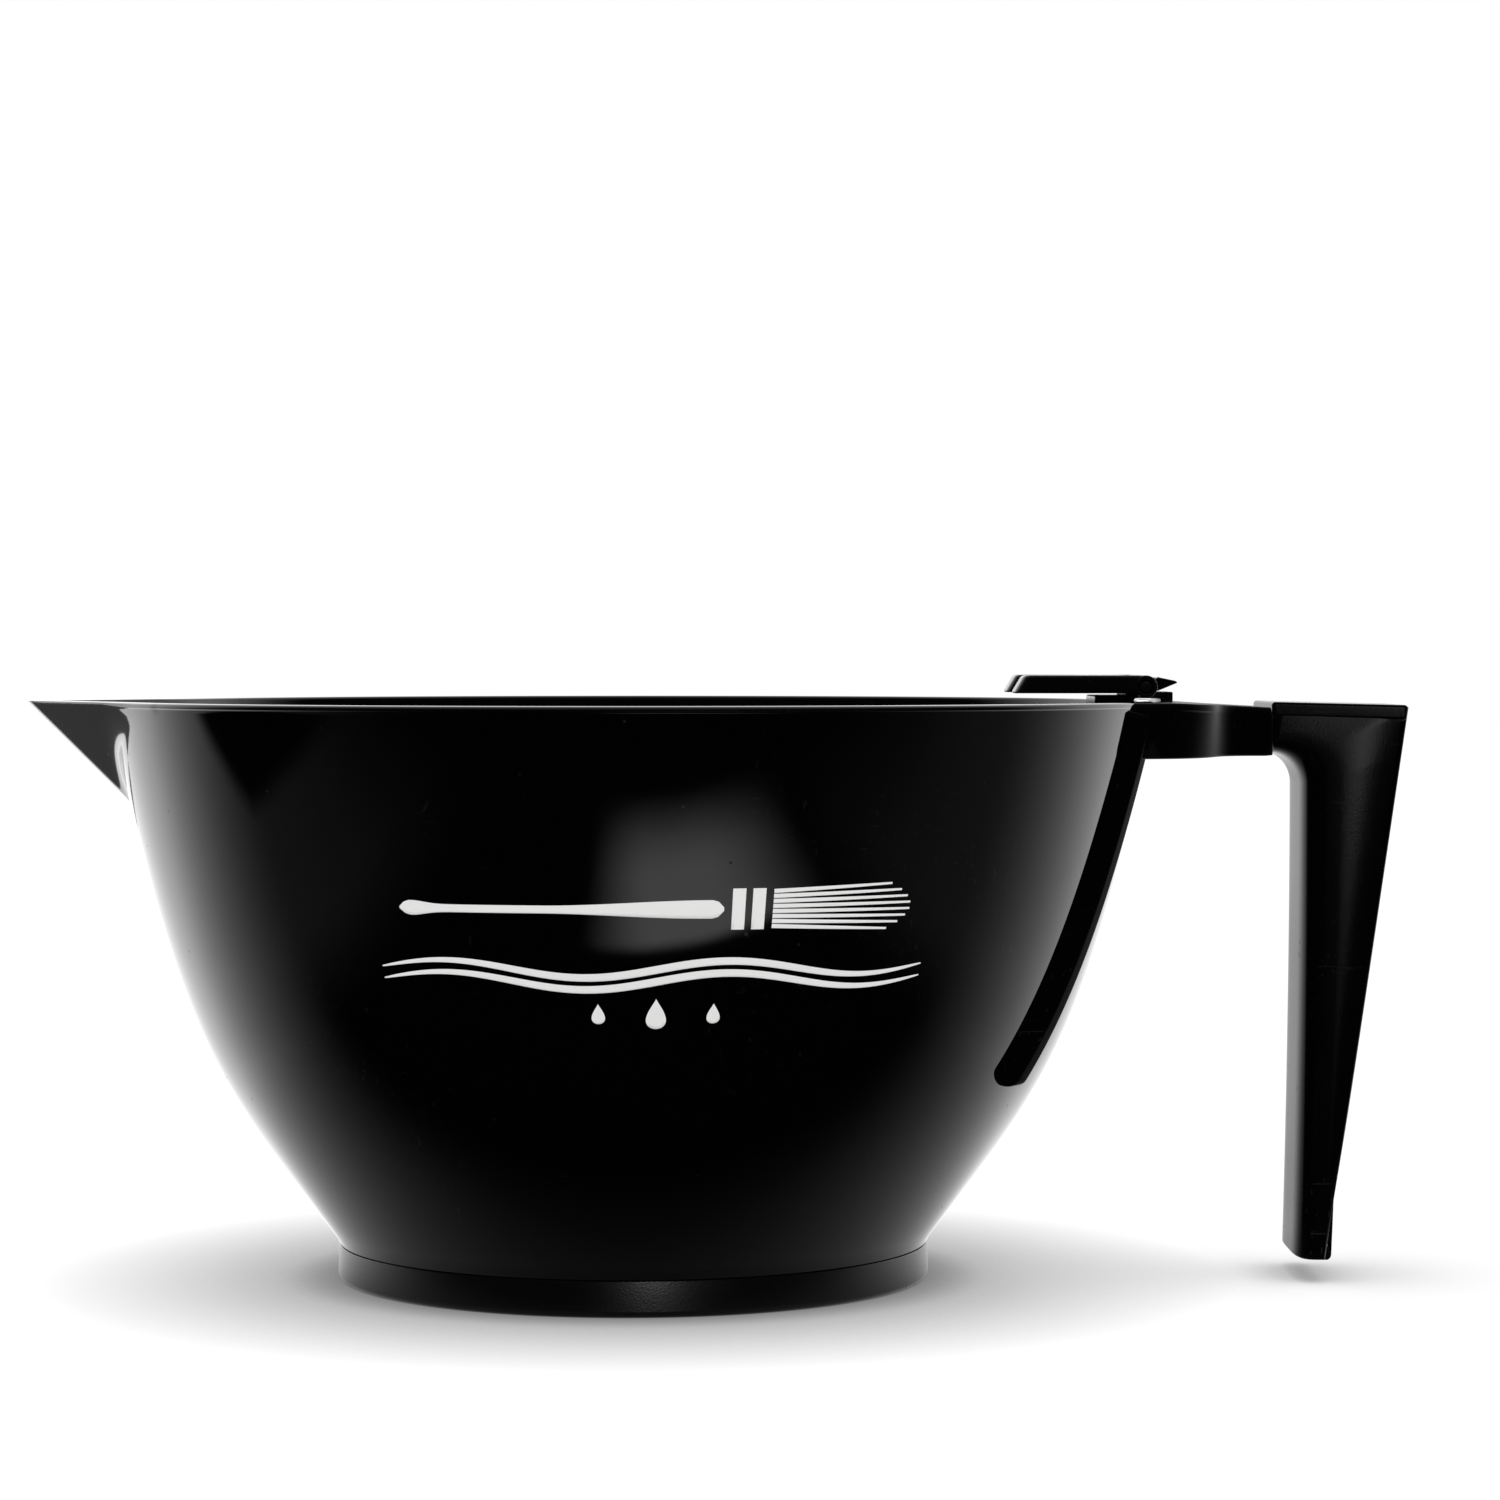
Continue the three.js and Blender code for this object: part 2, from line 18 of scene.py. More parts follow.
import bmesh
import bpy
import numpy as np
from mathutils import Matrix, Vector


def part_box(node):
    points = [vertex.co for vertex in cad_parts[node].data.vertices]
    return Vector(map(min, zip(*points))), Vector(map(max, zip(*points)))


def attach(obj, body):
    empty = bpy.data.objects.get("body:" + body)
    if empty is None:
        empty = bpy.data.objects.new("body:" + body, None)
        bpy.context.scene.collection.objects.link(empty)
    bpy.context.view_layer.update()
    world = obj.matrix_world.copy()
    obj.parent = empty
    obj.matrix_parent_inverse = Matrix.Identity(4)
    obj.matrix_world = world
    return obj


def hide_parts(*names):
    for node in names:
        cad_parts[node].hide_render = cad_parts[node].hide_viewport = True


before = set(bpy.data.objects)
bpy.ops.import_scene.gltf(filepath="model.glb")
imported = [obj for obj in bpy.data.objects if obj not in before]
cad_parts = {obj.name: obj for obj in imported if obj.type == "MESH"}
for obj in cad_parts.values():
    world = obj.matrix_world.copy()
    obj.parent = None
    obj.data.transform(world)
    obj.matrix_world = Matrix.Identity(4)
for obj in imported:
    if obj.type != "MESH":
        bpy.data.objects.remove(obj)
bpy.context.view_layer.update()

LOG = logging.getLogger("tint_bowl")
METRES = 0.001
BODY_MAIN = "vessel"
BODY_FLAP = "rest_flap"
SEAT_GAP = 0.3
FINE_SEAM = 0.06
WHITE = (1.0, 1.0, 1.0, 1.0)

SocketOrNumber = bpy.types.NodeSocket | float


class Slot(Enum):
    """The names of material slots; each piece carries one as a label."""

    BOWL = "bowl_gloss"
    RING = "ring_rubber"
    HANDLE = "handle_satin"
    REST = "rest_satin"
    PIN = "pin_metal"


# ---------------------------------------------------------------- places taken from the model


@dataclass(frozen=True)
class NodeBox:
    """Lowest and highest corner of one node, in millimetres, about the bowl's axis."""

    low: np.ndarray
    high: np.ndarray

    @classmethod
    def of(cls, node: str, axis_x: float = 0.0) -> NodeBox:
        """Reads the box of a node.

        Args:
            node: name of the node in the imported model.
            axis_x: where the bowl's axis stands along X, in millimetres.

        Returns:
            The box with its X measured from that axis.
        """
        low, high = (np.array(corner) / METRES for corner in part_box(node))
        shift = np.array([axis_x, 0.0, 0.0])
        return cls(low - shift, high - shift)

    @property
    def middle(self) -> np.ndarray:
        """The box's centre."""
        return (self.low + self.high) / 2


BOWL_BOX = NodeBox.of("bowl")
AXIS_X = float(BOWL_BOX.high[0] - BOWL_BOX.high[1])


def node_box(node: str) -> NodeBox:
    """The box of a node about the bowl's own axis."""
    return NodeBox.of(node, AXIS_X)


# ---------------------------------------------------------------- curves and surfaces


def softened(outline: np.ndarray, cut: float, steps: int = 5, closed: bool = True) -> np.ndarray:
    """Rounds the corners of an outline.

    Each corner C becomes a parabola from the point at distance d before it, A, to the point at
    distance d after it, B: (1 - t)^2 A + 2 t (1 - t) C + t^2 B. The distance d is the cut, or
    0.45 of the shorter edge at that corner where that is less.

    Args:
        outline: points as an array of shape (n, 2).
        cut: distance from each corner at which the rounding starts.
        steps: points in each rounding.
        closed: whether the last point joins the first.

    Returns:
        The rounded outline, shape (m, 2).
    """
    before = np.roll(outline, 1, axis=0) - outline
    after = np.roll(outline, -1, axis=0) - outline
    length_before = np.linalg.norm(before, axis=1, keepdims=True)
    length_after = np.linalg.norm(after, axis=1, keepdims=True)
    reach = np.minimum(cut, 0.45 * np.minimum(length_before, length_after))
    start = outline + before / length_before * reach
    end = outline + after / length_after * reach
    t = np.linspace(0, 1, steps)[None, :, None]
    arcs = (1 - t) ** 2 * start[:, None] + 2 * t * (1 - t) * outline[:, None] + t**2 * end[:, None]
    if closed:
        return arcs.reshape(-1, 2)
    return np.concatenate([outline[:1], arcs[1:-1].reshape(-1, 2), outline[-1:]])


def softened_run(points: list[list[float]], cut: float, steps: int) -> np.ndarray:
    """The rounded inner points of a short open run, without its two ends."""
    return softened(np.array(points, float), cut, steps, closed=False)[1:-1]


def inward_normals(outline: np.ndarray) -> np.ndarray:
    """Unit normals that point into a closed outline, each the mean of its two edges' normals.

    Args:
        outline: points of shape (n, 2), in either direction round.

    Returns:
        One normal for each point, shape (n, 2).
    """
    ahead = np.roll(outline, -1, axis=0) - outline
    behind = outline - np.roll(outline, 1, axis=0)
    along = ahead / np.linalg.norm(ahead, axis=1, keepdims=True)
    along += behind / np.linalg.norm(behind, axis=1, keepdims=True)
    normals = np.stack([-along[:, 1], along[:, 0]], axis=1)
    normals /= np.maximum(np.linalg.norm(normals, axis=1, keepdims=True), 1e-9)
    rolled = np.roll(outline, -1, axis=0)
    area = np.sum(outline[:, 0] * rolled[:, 1] - rolled[:, 0] * outline[:, 1])
    return normals if area > 0 else -normals


def resampled(path: np.ndarray, count: int) -> np.ndarray:
    """Points evenly spaced by distance along an open path of any dimension.

    Args:
        path: points of shape (n, dimensions).
        count: how many points are wanted.

    Returns:
        Points of shape (count, dimensions).
    """
    steps = np.linalg.norm(np.diff(path, axis=0), axis=1)
    along = np.concatenate([[0.0], np.cumsum(steps)])
    at = np.linspace(0, along[-1], count)
    return np.stack([np.interp(at, along, path[:, k]) for k in range(path.shape[1])], axis=1)


def smooth_step(value: np.ndarray) -> np.ndarray:
    """3 t^2 - 2 t^3 of a value held between 0 and 1."""
    t = np.clip(value, 0, 1)
    return t * t * (3 - 2 * t)


def grid_quads(rows: int, columns: int, wrap: bool) -> np.ndarray:
    """Faces of a grid whose points are stored row by row.

    Args:
        rows: number of rows.
        columns: number of points in a row.
        wrap: whether each row closes on itself.

    Returns:
        Quads as point numbers, shape (faces, 4).
    """
    last = columns if wrap else columns - 1
    r, c = np.meshgrid(np.arange(rows - 1), np.arange(last), indexing="ij")
    n = (c + 1) % columns
    quads = [r * columns + c, r * columns + n, (r + 1) * columns + n, (r + 1) * columns + c]
    return np.stack(quads, axis=-1).reshape(-1, 4)


@dataclass
class Shell:
    """One closed surface: its points in millimetres and its faces as point numbers."""

    points: np.ndarray
    faces: list[list[int]]

    @classmethod
    def from_grid(cls, grid: np.ndarray, wrap: bool = True, caps: bool = False) -> Shell:
        """A skin through a grid of points.

        Args:
            grid: points, shape (rows, columns, 3).
            wrap: whether each row closes on itself.
            caps: whether the first and last row are closed by a face each.

        Returns:
            The shell.
        """
        rows, columns, _ = grid.shape
        faces = grid_quads(rows, columns, wrap).tolist()
        if caps:
            faces.append(list(range(columns))[::-1])
            faces.append(list(range((rows - 1) * columns, rows * columns)))
        return cls(grid.reshape(-1, 3), faces)

    @classmethod
    def thick_sheet(cls, outer: np.ndarray, inner: np.ndarray, bulge: float) -> Shell:
        """A sheet between two grids of equal size, with rounded borders.

        Around the border, the two skins are joined by a half oval: at a share f from the outer
        skin to the inner one, the point lies on the line between them, moved outwards in the
        sheet's own plane by bulge times the square root of 1 - (2 f - 1)^2.

        Args:
            outer: points of the outer skin, shape (rows, columns, 3).
            inner: points of the inner skin, of the same shape.
            bulge: how far the border stands out from both grids' edges.

        Returns:
            The closed shell.
        """
        rows, columns, _ = outer.shape
        count = rows * columns
        faces = grid_quads(rows, columns, False).tolist()
        faces += (grid_quads(rows, columns, False)[:, ::-1] + count).tolist()
        index = np.arange(count).reshape(rows, columns)
        border = np.concatenate([
            index[0, :-1], index[:-1, -1], index[-1, :0:-1], index[:0:-1, 0],
        ])
        neighbour = np.concatenate([
            index[1, :-1], index[:-1, -2], index[-2, :0:-1], index[:0:-1, 1],
        ])
        out_flat, in_flat = outer.reshape(-1, 3), inner.reshape(-1, 3)
        middle = (out_flat + in_flat) / 2
        away = middle[border] - middle[neighbour]
        corners = np.array([0, columns - 1, columns + rows - 2, 2 * columns + rows - 3])
        away[corners] += np.roll(away, 1, axis=0)[corners]
        away /= np.maximum(np.linalg.norm(away, axis=1, keepdims=True), 1e-9)
        share = (1 - np.cos(np.linspace(0, math.pi, 7)[1:-1])) / 2
        lift = bulge * np.sqrt(1 - (2 * share - 1) ** 2)
        ring = (
            out_flat[border][None] * (1 - share)[:, None, None]
            + in_flat[border][None] * share[:, None, None]
            + away[None] * lift[:, None, None]
        )
        band = np.concatenate([
            border[None],
            2 * count + np.arange(ring.shape[0] * len(border)).reshape(ring.shape[0], -1),
            border[None] + count,
        ])
        quads = grid_quads(band.shape[0], band.shape[1], True)
        faces += band.reshape(-1)[quads].tolist()
        points = np.concatenate([out_flat, in_flat, ring.reshape(-1, 3)])
        return cls(points, faces)

    @classmethod
    def slab(
        cls, outline: np.ndarray, low: float, high: float, edge: float, place: Placing,
    ) -> Shell:
        """A plate: a closed outline raised between two levels, with rounded edges.

        At an angle a through the rounding, the outline is drawn in by edge (1 - sin a) and
        lies edge (1 - sin of the rest) from the plate's face.

        Args:
            outline: points of shape (n, 2).
            low: level of one face.
            high: level of the other face.
            edge: radius of the rounding along both faces.
            place: how the outline's two values and the level become X, Y and Z.

        Returns:
            The closed shell.
        """
        turn = np.linspace(0, math.pi / 2, 5)
        inset = np.concatenate([edge * (1 - np.sin(turn)), edge * (1 - np.cos(turn))])
        rise = edge * (1 - np.cos(turn))
        level = np.concatenate([low + rise, high - rise[::-1]])
        shrunk = outline[None] + inward_normals(outline)[None] * inset[:, None, None]
        levels = np.broadcast_to(level[:, None, None], shrunk.shape[:2] + (1,))
        flat = np.concatenate([shrunk, levels], axis=2)
        return cls.from_grid(place.apply(flat), wrap=True, caps=True)

    @classmethod
    def spun(cls, profile: np.ndarray, centre: np.ndarray, columns: int) -> Shell:
        """A closed profile turned about an axis along Y.

        Args:
            profile: points of [radius, place along Y].
            centre: a point on the axis, from which the places along Y are measured.
            columns: points in the profile's circle.

        Returns:
            The closed shell.
        """
        angle = np.linspace(0, 2 * math.pi, columns, endpoint=False)
        x = centre[0] + profile[:, :1] * np.cos(angle)[None]
        z = centre[2] + profile[:, :1] * np.sin(angle)[None]
        y = np.broadcast_to(centre[1] + profile[:, 1:], x.shape)
        grid = np.stack([x, y, z], axis=-1)
        return cls.from_grid(np.concatenate([grid, grid[:1]]), wrap=True)


@dataclass(frozen=True)
class Placing:
    """Which of X, Y and Z each value of a flat drawing goes to: first, second and level."""

    order: tuple[int, int, int]
    rim_bend: bool = False

    def apply(self, flat: np.ndarray) -> np.ndarray:
        """Puts flat points in place.

        Where rim_bend is set, X is a distance from the bowl's axis, so a point at a distance
        r and at Y = y lies at X = the square root of r^2 - y^2, and the plate hugs the rim.

        Args:
            flat: points of [first, second, level] along the last axis.

        Returns:
            The points as X, Y, Z.
        """
        placed = np.empty_like(flat)
        for source, target in enumerate(self.order):
            placed[..., target] = flat[..., source]
        if self.rim_bend:
            placed[..., 0] = np.sqrt(placed[..., 0] ** 2 - placed[..., 1] ** 2)
        return placed


IN_PLAN = Placing((0, 1, 2))
FROM_THE_SIDE = Placing((0, 2, 1))
AROUND_THE_RIM = Placing((0, 2, 1), rim_bend=True)


@dataclass
class Piece:
    """A piece of the object, made of one or more closed shells."""

    name: str
    shells: list[Shell]
    material: bpy.types.Material
    slot: Slot
    body: str = BODY_MAIN
    stands_for: tuple[str, ...] = ()
    crease: float = 38.0
    mirrored: bool = True

    def make(self) -> bpy.types.Object:
        """Builds the mesh, closes seams and poles, and hands the piece to its body.

        Returns:
            The finished object, at the origin, with its place in its mesh.
        """
        offsets = np.cumsum([0] + [len(shell.points) for shell in self.shells])
        points = np.concatenate([shell.points for shell in self.shells])
        points = (points + np.array([AXIS_X, 0.0, 0.0])) * METRES
        faces = [
            [number + int(offset) for number in face]
            for shell, offset in zip(self.shells, offsets)
            for face in shell.faces
        ]
        mesh = bpy.data.meshes.new(self.name)
        mesh.from_pydata(points.tolist(), [], faces)
        shape = bmesh.new()
        shape.from_mesh(mesh)
        bmesh.ops.remove_doubles(shape, verts=shape.verts, dist=1e-7)
        bmesh.ops.dissolve_degenerate(shape, edges=shape.edges, dist=1e-8)
        bmesh.ops.recalc_face_normals(shape, faces=shape.faces)
        shape.to_mesh(mesh)
        shape.free()
        mesh.shade_smooth()
        mesh.set_sharp_from_angle(angle=math.radians(self.crease))
        mesh.materials.append(self.material)
        piece = bpy.data.objects.new(self.name, mesh)
        bpy.context.scene.collection.objects.link(piece)
        weighted = piece.modifiers.new("weighted normals", "WEIGHTED_NORMAL")
        weighted.keep_sharp = True
        piece.visible_glossy = self.mirrored
        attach(piece, self.body)
        if self.stands_for:
            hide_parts(*self.stands_for)
        LOG.info("%s: %d faces on %s", self.name, len(mesh.polygons), self.body)
        return piece


# ---------------------------------------------------------------- shader building


class Nodes:
    """A short way of wiring one node tree."""

    def __init__(self, tree: bpy.types.NodeTree) -> None:
        """Takes the tree and empties it."""
        self.tree = tree
        tree.nodes.clear()

    def add(self, kind: str, links: dict | None = None, **settings) -> bpy.types.Node:
        """Adds a node.

        Args:
            kind: Blender's name for the node type.
            links: what goes into each input, by name or number: an output socket or a value.
            **settings: properties of the node.

        Returns:
            The new node.
        """
        node = self.tree.nodes.new(kind)
        for key, value in settings.items():
            setattr(node, key, value)
        for key, value in (links or {}).items():
            if isinstance(value, bpy.types.NodeSocket):
                self.tree.links.new(value, node.inputs[key])
            else:
                node.inputs[key].default_value = value
        return node

    def math(
        self, operation: str, first: SocketOrNumber, second: SocketOrNumber = 0.0, clamp: bool = False,
    ) -> bpy.types.NodeSocket:
        """One arithmetic step; returns its output socket."""
        node = self.add("ShaderNodeMath", {0: first, 1: second}, operation=operation, use_clamp=clamp)
        return node.outputs[0]

    def ramp(
        self, value: SocketOrNumber, low: SocketOrNumber, high: SocketOrNumber,
        to_low: float, to_high: float,
    ) -> bpy.types.NodeSocket:
        """A smooth change of a value between two limits; returns its output socket."""
        links = {"Value": value, "From Min": low, "From Max": high, "To Min": to_low, "To Max": to_high}
        return self.add("ShaderNodeMapRange", links, interpolation_type="SMOOTHSTEP").outputs["Result"]


def group_tree(name: str, inputs: dict[str, float], outputs: tuple[str, ...]) -> bpy.types.NodeTree:
    """An empty shader group with a place vector, named number inputs and number outputs.

    Args:
        name: name of the group.
        inputs: its number inputs by name, each with its usual value.
        outputs: names of its outputs.

    Returns:
        The group's node tree.
    """
    tree = bpy.data.node_groups.new(name, "ShaderNodeTree")
    tree.interface.new_socket("Place", in_out="INPUT", socket_type="NodeSocketVector")
    for label, value in inputs.items():
        socket = tree.interface.new_socket(label, in_out="INPUT", socket_type="NodeSocketFloat")
        socket.default_value = value
    for label in outputs:
        tree.interface.new_socket(label, in_out="OUTPUT", socket_type="NodeSocketFloat")
    return tree


class Effects:
    """The shader groups that several finishes use, each built once."""

    @cached_property
    def grain(self) -> bpy.types.NodeTree:
        """Fine skin of a mould: rounded pits of one size over a slower unevenness.

        Height = (1 - share) x slow noise + share x distance to the nearest of many scattered
        points.

        Returns:
            The group's node tree.
        """
        tree = group_tree("moulded_grain", {"Pit Size": 0.0002, "Share": 0.7}, ("Height",))
        n = Nodes(tree)
        into = n.add("NodeGroupInput").outputs
        scale = n.math("DIVIDE", 1.0, into["Pit Size"])
        slow = n.math("MULTIPLY", scale, 0.22)
        pits = n.add("ShaderNodeTexVoronoi", {"Vector": into["Place"], "Scale": scale})
        waves = n.add("ShaderNodeTexNoise", {"Vector": into["Place"], "Scale": slow, "Detail": 2.0})
        rest = n.math("SUBTRACT", 1.0, into["Share"])
        fine = n.math("MULTIPLY", pits.outputs["Distance"], into["Share"])
        broad = n.math("MULTIPLY", waves.outputs[0], rest)
        n.add("NodeGroupOutput", {"Height": n.math("ADD", fine, broad)})
        return tree

    @cached_property
    def handling(self) -> bpy.types.NodeTree:
        """Traces of use and packing: hairline scuffs in two directions, and specks of dust.

        A scuff shows where noise, drawn out a hundredfold along one direction, passes a high
        threshold inside patches of a slower noise. A speck shows near scattered points.

        Returns:
            The group's node tree.
        """
        tree = group_tree("handling_traces", {"Scuff Size": 0.0004}, ("Scuffs", "Dust", "Cloud"))
        n = Nodes(tree)
        into = n.add("NodeGroupInput").outputs
        scale = n.math("DIVIDE", 1.0, into["Scuff Size"])
        lines = []
        for turn, stretch in ((0.5, (1.0, 0.03, 0.35)), (-0.9, (0.04, 0.8, 1.0))):
            turned = n.add(
                "ShaderNodeMapping",
                {"Vector": into["Place"], "Rotation": (turn, turn * 0.7, turn), "Scale": stretch},
            )
            noise = n.add(
                "ShaderNodeTexNoise",
                {"Vector": turned.outputs[0], "Scale": scale, "Detail": 1.0},
            )
            lines.append(n.ramp(noise.outputs[0], 0.69, 0.76, 0.0, 1.0))
        patch = n.add("ShaderNodeTexNoise", {"Vector": into["Place"], "Scale": 45.0, "Detail": 3.0})
        patches = n.ramp(patch.outputs[0], 0.45, 0.7, 0.0, 1.0)
        scuffs = n.math("MULTIPLY", n.math("MAXIMUM", lines[0], lines[1]), patches)
        speck = n.add("ShaderNodeTexVoronoi", {"Vector": into["Place"], "Scale": 420.0})
        near = n.ramp(speck.outputs["Distance"], 0.05, 0.11, 1.0, 0.0)
        chosen = n.math("GREATER_THAN", speck.outputs["Color"], 0.72)
        dust = n.math("MULTIPLY", near, chosen)
        n.add("NodeGroupOutput", {"Scuffs": scuffs, "Dust": dust, "Cloud": patch.outputs[0]})
        return tree

    @cached_property
    def edge_wear(self) -> bpy.types.NodeTree:
        """Polish on outer edges: the mesh's convexity, broken up by a noise.

        Returns:
            The group's node tree.
        """
        tree = group_tree("edge_polish", {"Reach": 0.53}, ("Edge",))
        n = Nodes(tree)
        into = n.add("NodeGroupInput").outputs
        noise = n.add("ShaderNodeTexNoise", {"Vector": into["Place"], "Scale": 260.0, "Detail": 3.0})
        convex = n.add("ShaderNodeNewGeometry").outputs["Pointiness"]
        top = n.math("ADD", into["Reach"], 0.05)
        links = {"Value": convex, "From Min": into["Reach"], "From Max": top}
        mask = n.add("ShaderNodeMapRange", links).outputs["Result"]
        broken = n.ramp(noise.outputs[0], 0.35, 0.65, 0.3, 1.0)
        n.add("NodeGroupOutput", {"Edge": n.math("MULTIPLY", mask, broken, clamp=True)})
        return tree


EFFECTS = Effects()


@dataclass(frozen=True)
class Finish:
    """A moulded or coated finish, from polished to grained.

    The base colour is lifted a little by dust, scuffs and polished edges, and the roughness
    moves with a slow cloud, the scuffs and the dust. The grain is a bump of the given depth.
    """

    name: str
    color: tuple[float, float, float]
    roughness: float
    metallic: float = 0.0
    ior: float = 1.5
    pit_size: float = 0.0002
    pit_share: float = 0.7
    grain_depth: float = 0.00001
    cloud: float = 0.03
    scuff: float = 0.05
    dust: float = 0.02
    edge: float = 0.04

    def material(self) -> bpy.types.Material:
        """Wires the finish up from the shared effects.

        Returns:
            The material.
        """
        made = bpy.data.materials.new(self.name)
        made.use_nodes = True
        n = Nodes(made.node_tree)
        place = n.add("ShaderNodeTexCoord").outputs["Object"]
        grain = n.add("ShaderNodeGroup", node_tree=EFFECTS.grain)
        marks = n.add("ShaderNodeGroup", node_tree=EFFECTS.handling)
        edges = n.add("ShaderNodeGroup", node_tree=EFFECTS.edge_wear)
        for node in (grain, marks, edges):
            made.node_tree.links.new(place, node.inputs["Place"])
        grain.inputs["Pit Size"].default_value = self.pit_size
        grain.inputs["Share"].default_value = self.pit_share
        light = n.math("MULTIPLY", marks.outputs["Dust"], self.dust)
        light = n.math("ADD", light, n.math("MULTIPLY", marks.outputs["Scuffs"], self.scuff * 0.3))
        light = n.math("ADD", light, n.math("MULTIPLY", edges.outputs["Edge"], self.edge), clamp=True)
        pale = tuple(min(1.0, value + 0.35) for value in self.color)
        tint = n.add(
            "ShaderNodeMix",
            {"Factor": light, "A": (*self.color, 1.0), "B": (*pale, 1.0)},
            data_type="RGBA",
        )
        shift = n.math("SUBTRACT", marks.outputs["Cloud"], 0.5)
        rough = n.math("ADD", n.math("MULTIPLY", shift, 2 * self.cloud), self.roughness)
        rough = n.math("ADD", rough, n.math("MULTIPLY", marks.outputs["Scuffs"], self.scuff))
        rough = n.math("ADD", rough, n.math("MULTIPLY", marks.outputs["Dust"], 0.3), clamp=True)
        bump = n.add(
            "ShaderNodeBump",
            {"Height": grain.outputs["Height"], "Strength": 1.0, "Distance": self.grain_depth},
        )
        shader = n.add("ShaderNodeBsdfPrincipled", {
            "Base Color": tint.outputs["Result"],
            "Roughness": rough,
            "Metallic": self.metallic,
            "IOR": self.ior,
            "Normal": bump.outputs["Normal"],
        })
        n.add("ShaderNodeOutputMaterial", {"Surface": shader.outputs["BSDF"]})
        return made


BOWL_FINISH = Finish(
    "bowl_polished_black", (0.0006, 0.0006, 0.00065), 0.06,
    pit_size=0.004, pit_share=0.25, grain_depth=0.00001, cloud=0.02, scuff=0.06, dust=0.004, edge=0.004,
)
RING_FINISH = Finish(
    "ring_soft_rubber", (0.001, 0.001, 0.00105), 0.24,
    pit_size=0.00025, grain_depth=0.000008, cloud=0.04, scuff=0.06, dust=0.006, edge=0.004,
)
CRADLE_FINISH = Finish(
    "cradle_matt_black", (0.0008, 0.0008, 0.00085), 0.3, ior=1.04,
    pit_size=0.00022, grain_depth=0.000006, cloud=0.04, scuff=0.08, dust=0.004, edge=0.006,
)
GRIP_FINISH = Finish(
    "grip_satin_black", (0.0008, 0.0008, 0.00085), 0.18, ior=1.07,
    pit_size=0.00022, grain_depth=0.000006, cloud=0.04, scuff=0.08, dust=0.004, edge=0.006,
)
REST_FINISH = Finish(
    "rest_satin_black", (0.001, 0.001, 0.00105), 0.24, ior=1.4,
    pit_size=0.00018, grain_depth=0.000006, cloud=0.03, scuff=0.1, dust=0.004, edge=0.008,
)
PIN_FINISH = Finish(
    "pin_blackened_steel", (0.012, 0.012, 0.013), 0.3, metallic=0.8,
    pit_size=0.0001, grain_depth=0.000003, cloud=0.05, scuff=0.1, dust=0.004, edge=0.05,
)
PRINT_FINISH = Finish(
    "emblem_white_ink", (0.94, 0.94, 0.93), 0.5,
    pit_size=0.00012, grain_depth=0.000004, cloud=0.04, scuff=0.05, dust=0.0, edge=0.0,
)


# ---------------------------------------------------------------- bowl


@dataclass(frozen=True)
class WallCurve:
    """The bowl's outer wall: one cubic curve from the foot to the rim."""

    foot: tuple[float, float]
    top: tuple[float, float]
    foot_lean: float = 36.0
    foot_pull: float = 23.0
    rim_lean: float = 11.0
    rim_pull: float = 45.0

    @cached_property
    def samples(self) -> np.ndarray:
        """Points and unit tangents along the curve, shape (n, 4).

        The curve is (1-t)^3 A + 3 t (1-t)^2 B + 3 t^2 (1-t) C + t^3 D, with B a pull away from
        the foot A along its lean, and C a pull back from the rim D along its own lean.

        Returns:
            Rows of [radius, height, change of radius, change of height].
        """
        first, last = np.array(self.foot), np.array(self.top)
        foot_turn, rim_turn = math.radians(self.foot_lean), math.radians(self.rim_lean)
        second = first + self.foot_pull * np.array([math.sin(foot_turn), math.cos(foot_turn)])
        third = last - self.rim_pull * np.array([math.sin(rim_turn), math.cos(rim_turn)])
        t = np.linspace(0, 1, 400)[:, None]
        at = (1 - t) ** 3 * first + 3 * t * (1 - t) ** 2 * second
        at = at + 3 * t**2 * (1 - t) * third + t**3 * last
        slope = 3 * (1 - t) ** 2 * (second - first) + 6 * t * (1 - t) * (third - second)
        slope = slope + 3 * t**2 * (last - third)
        return np.concatenate([at, slope / np.linalg.norm(slope, axis=1, keepdims=True)], axis=1)

    def radius(self, height: np.ndarray | float, offset: float = 0.0) -> np.ndarray:
        """Radius at a height, of the curve set off sideways from itself by a distance."""
        s = self.samples
        return np.interp(height, s[:, 1] - offset * s[:, 2], s[:, 0] + offset * s[:, 3])

    def lean(self, height: np.ndarray | float) -> np.ndarray:
        """Change of radius for each millimetre of height."""
        s = self.samples
        return np.interp(height, s[:, 1], s[:, 2] / s[:, 3])


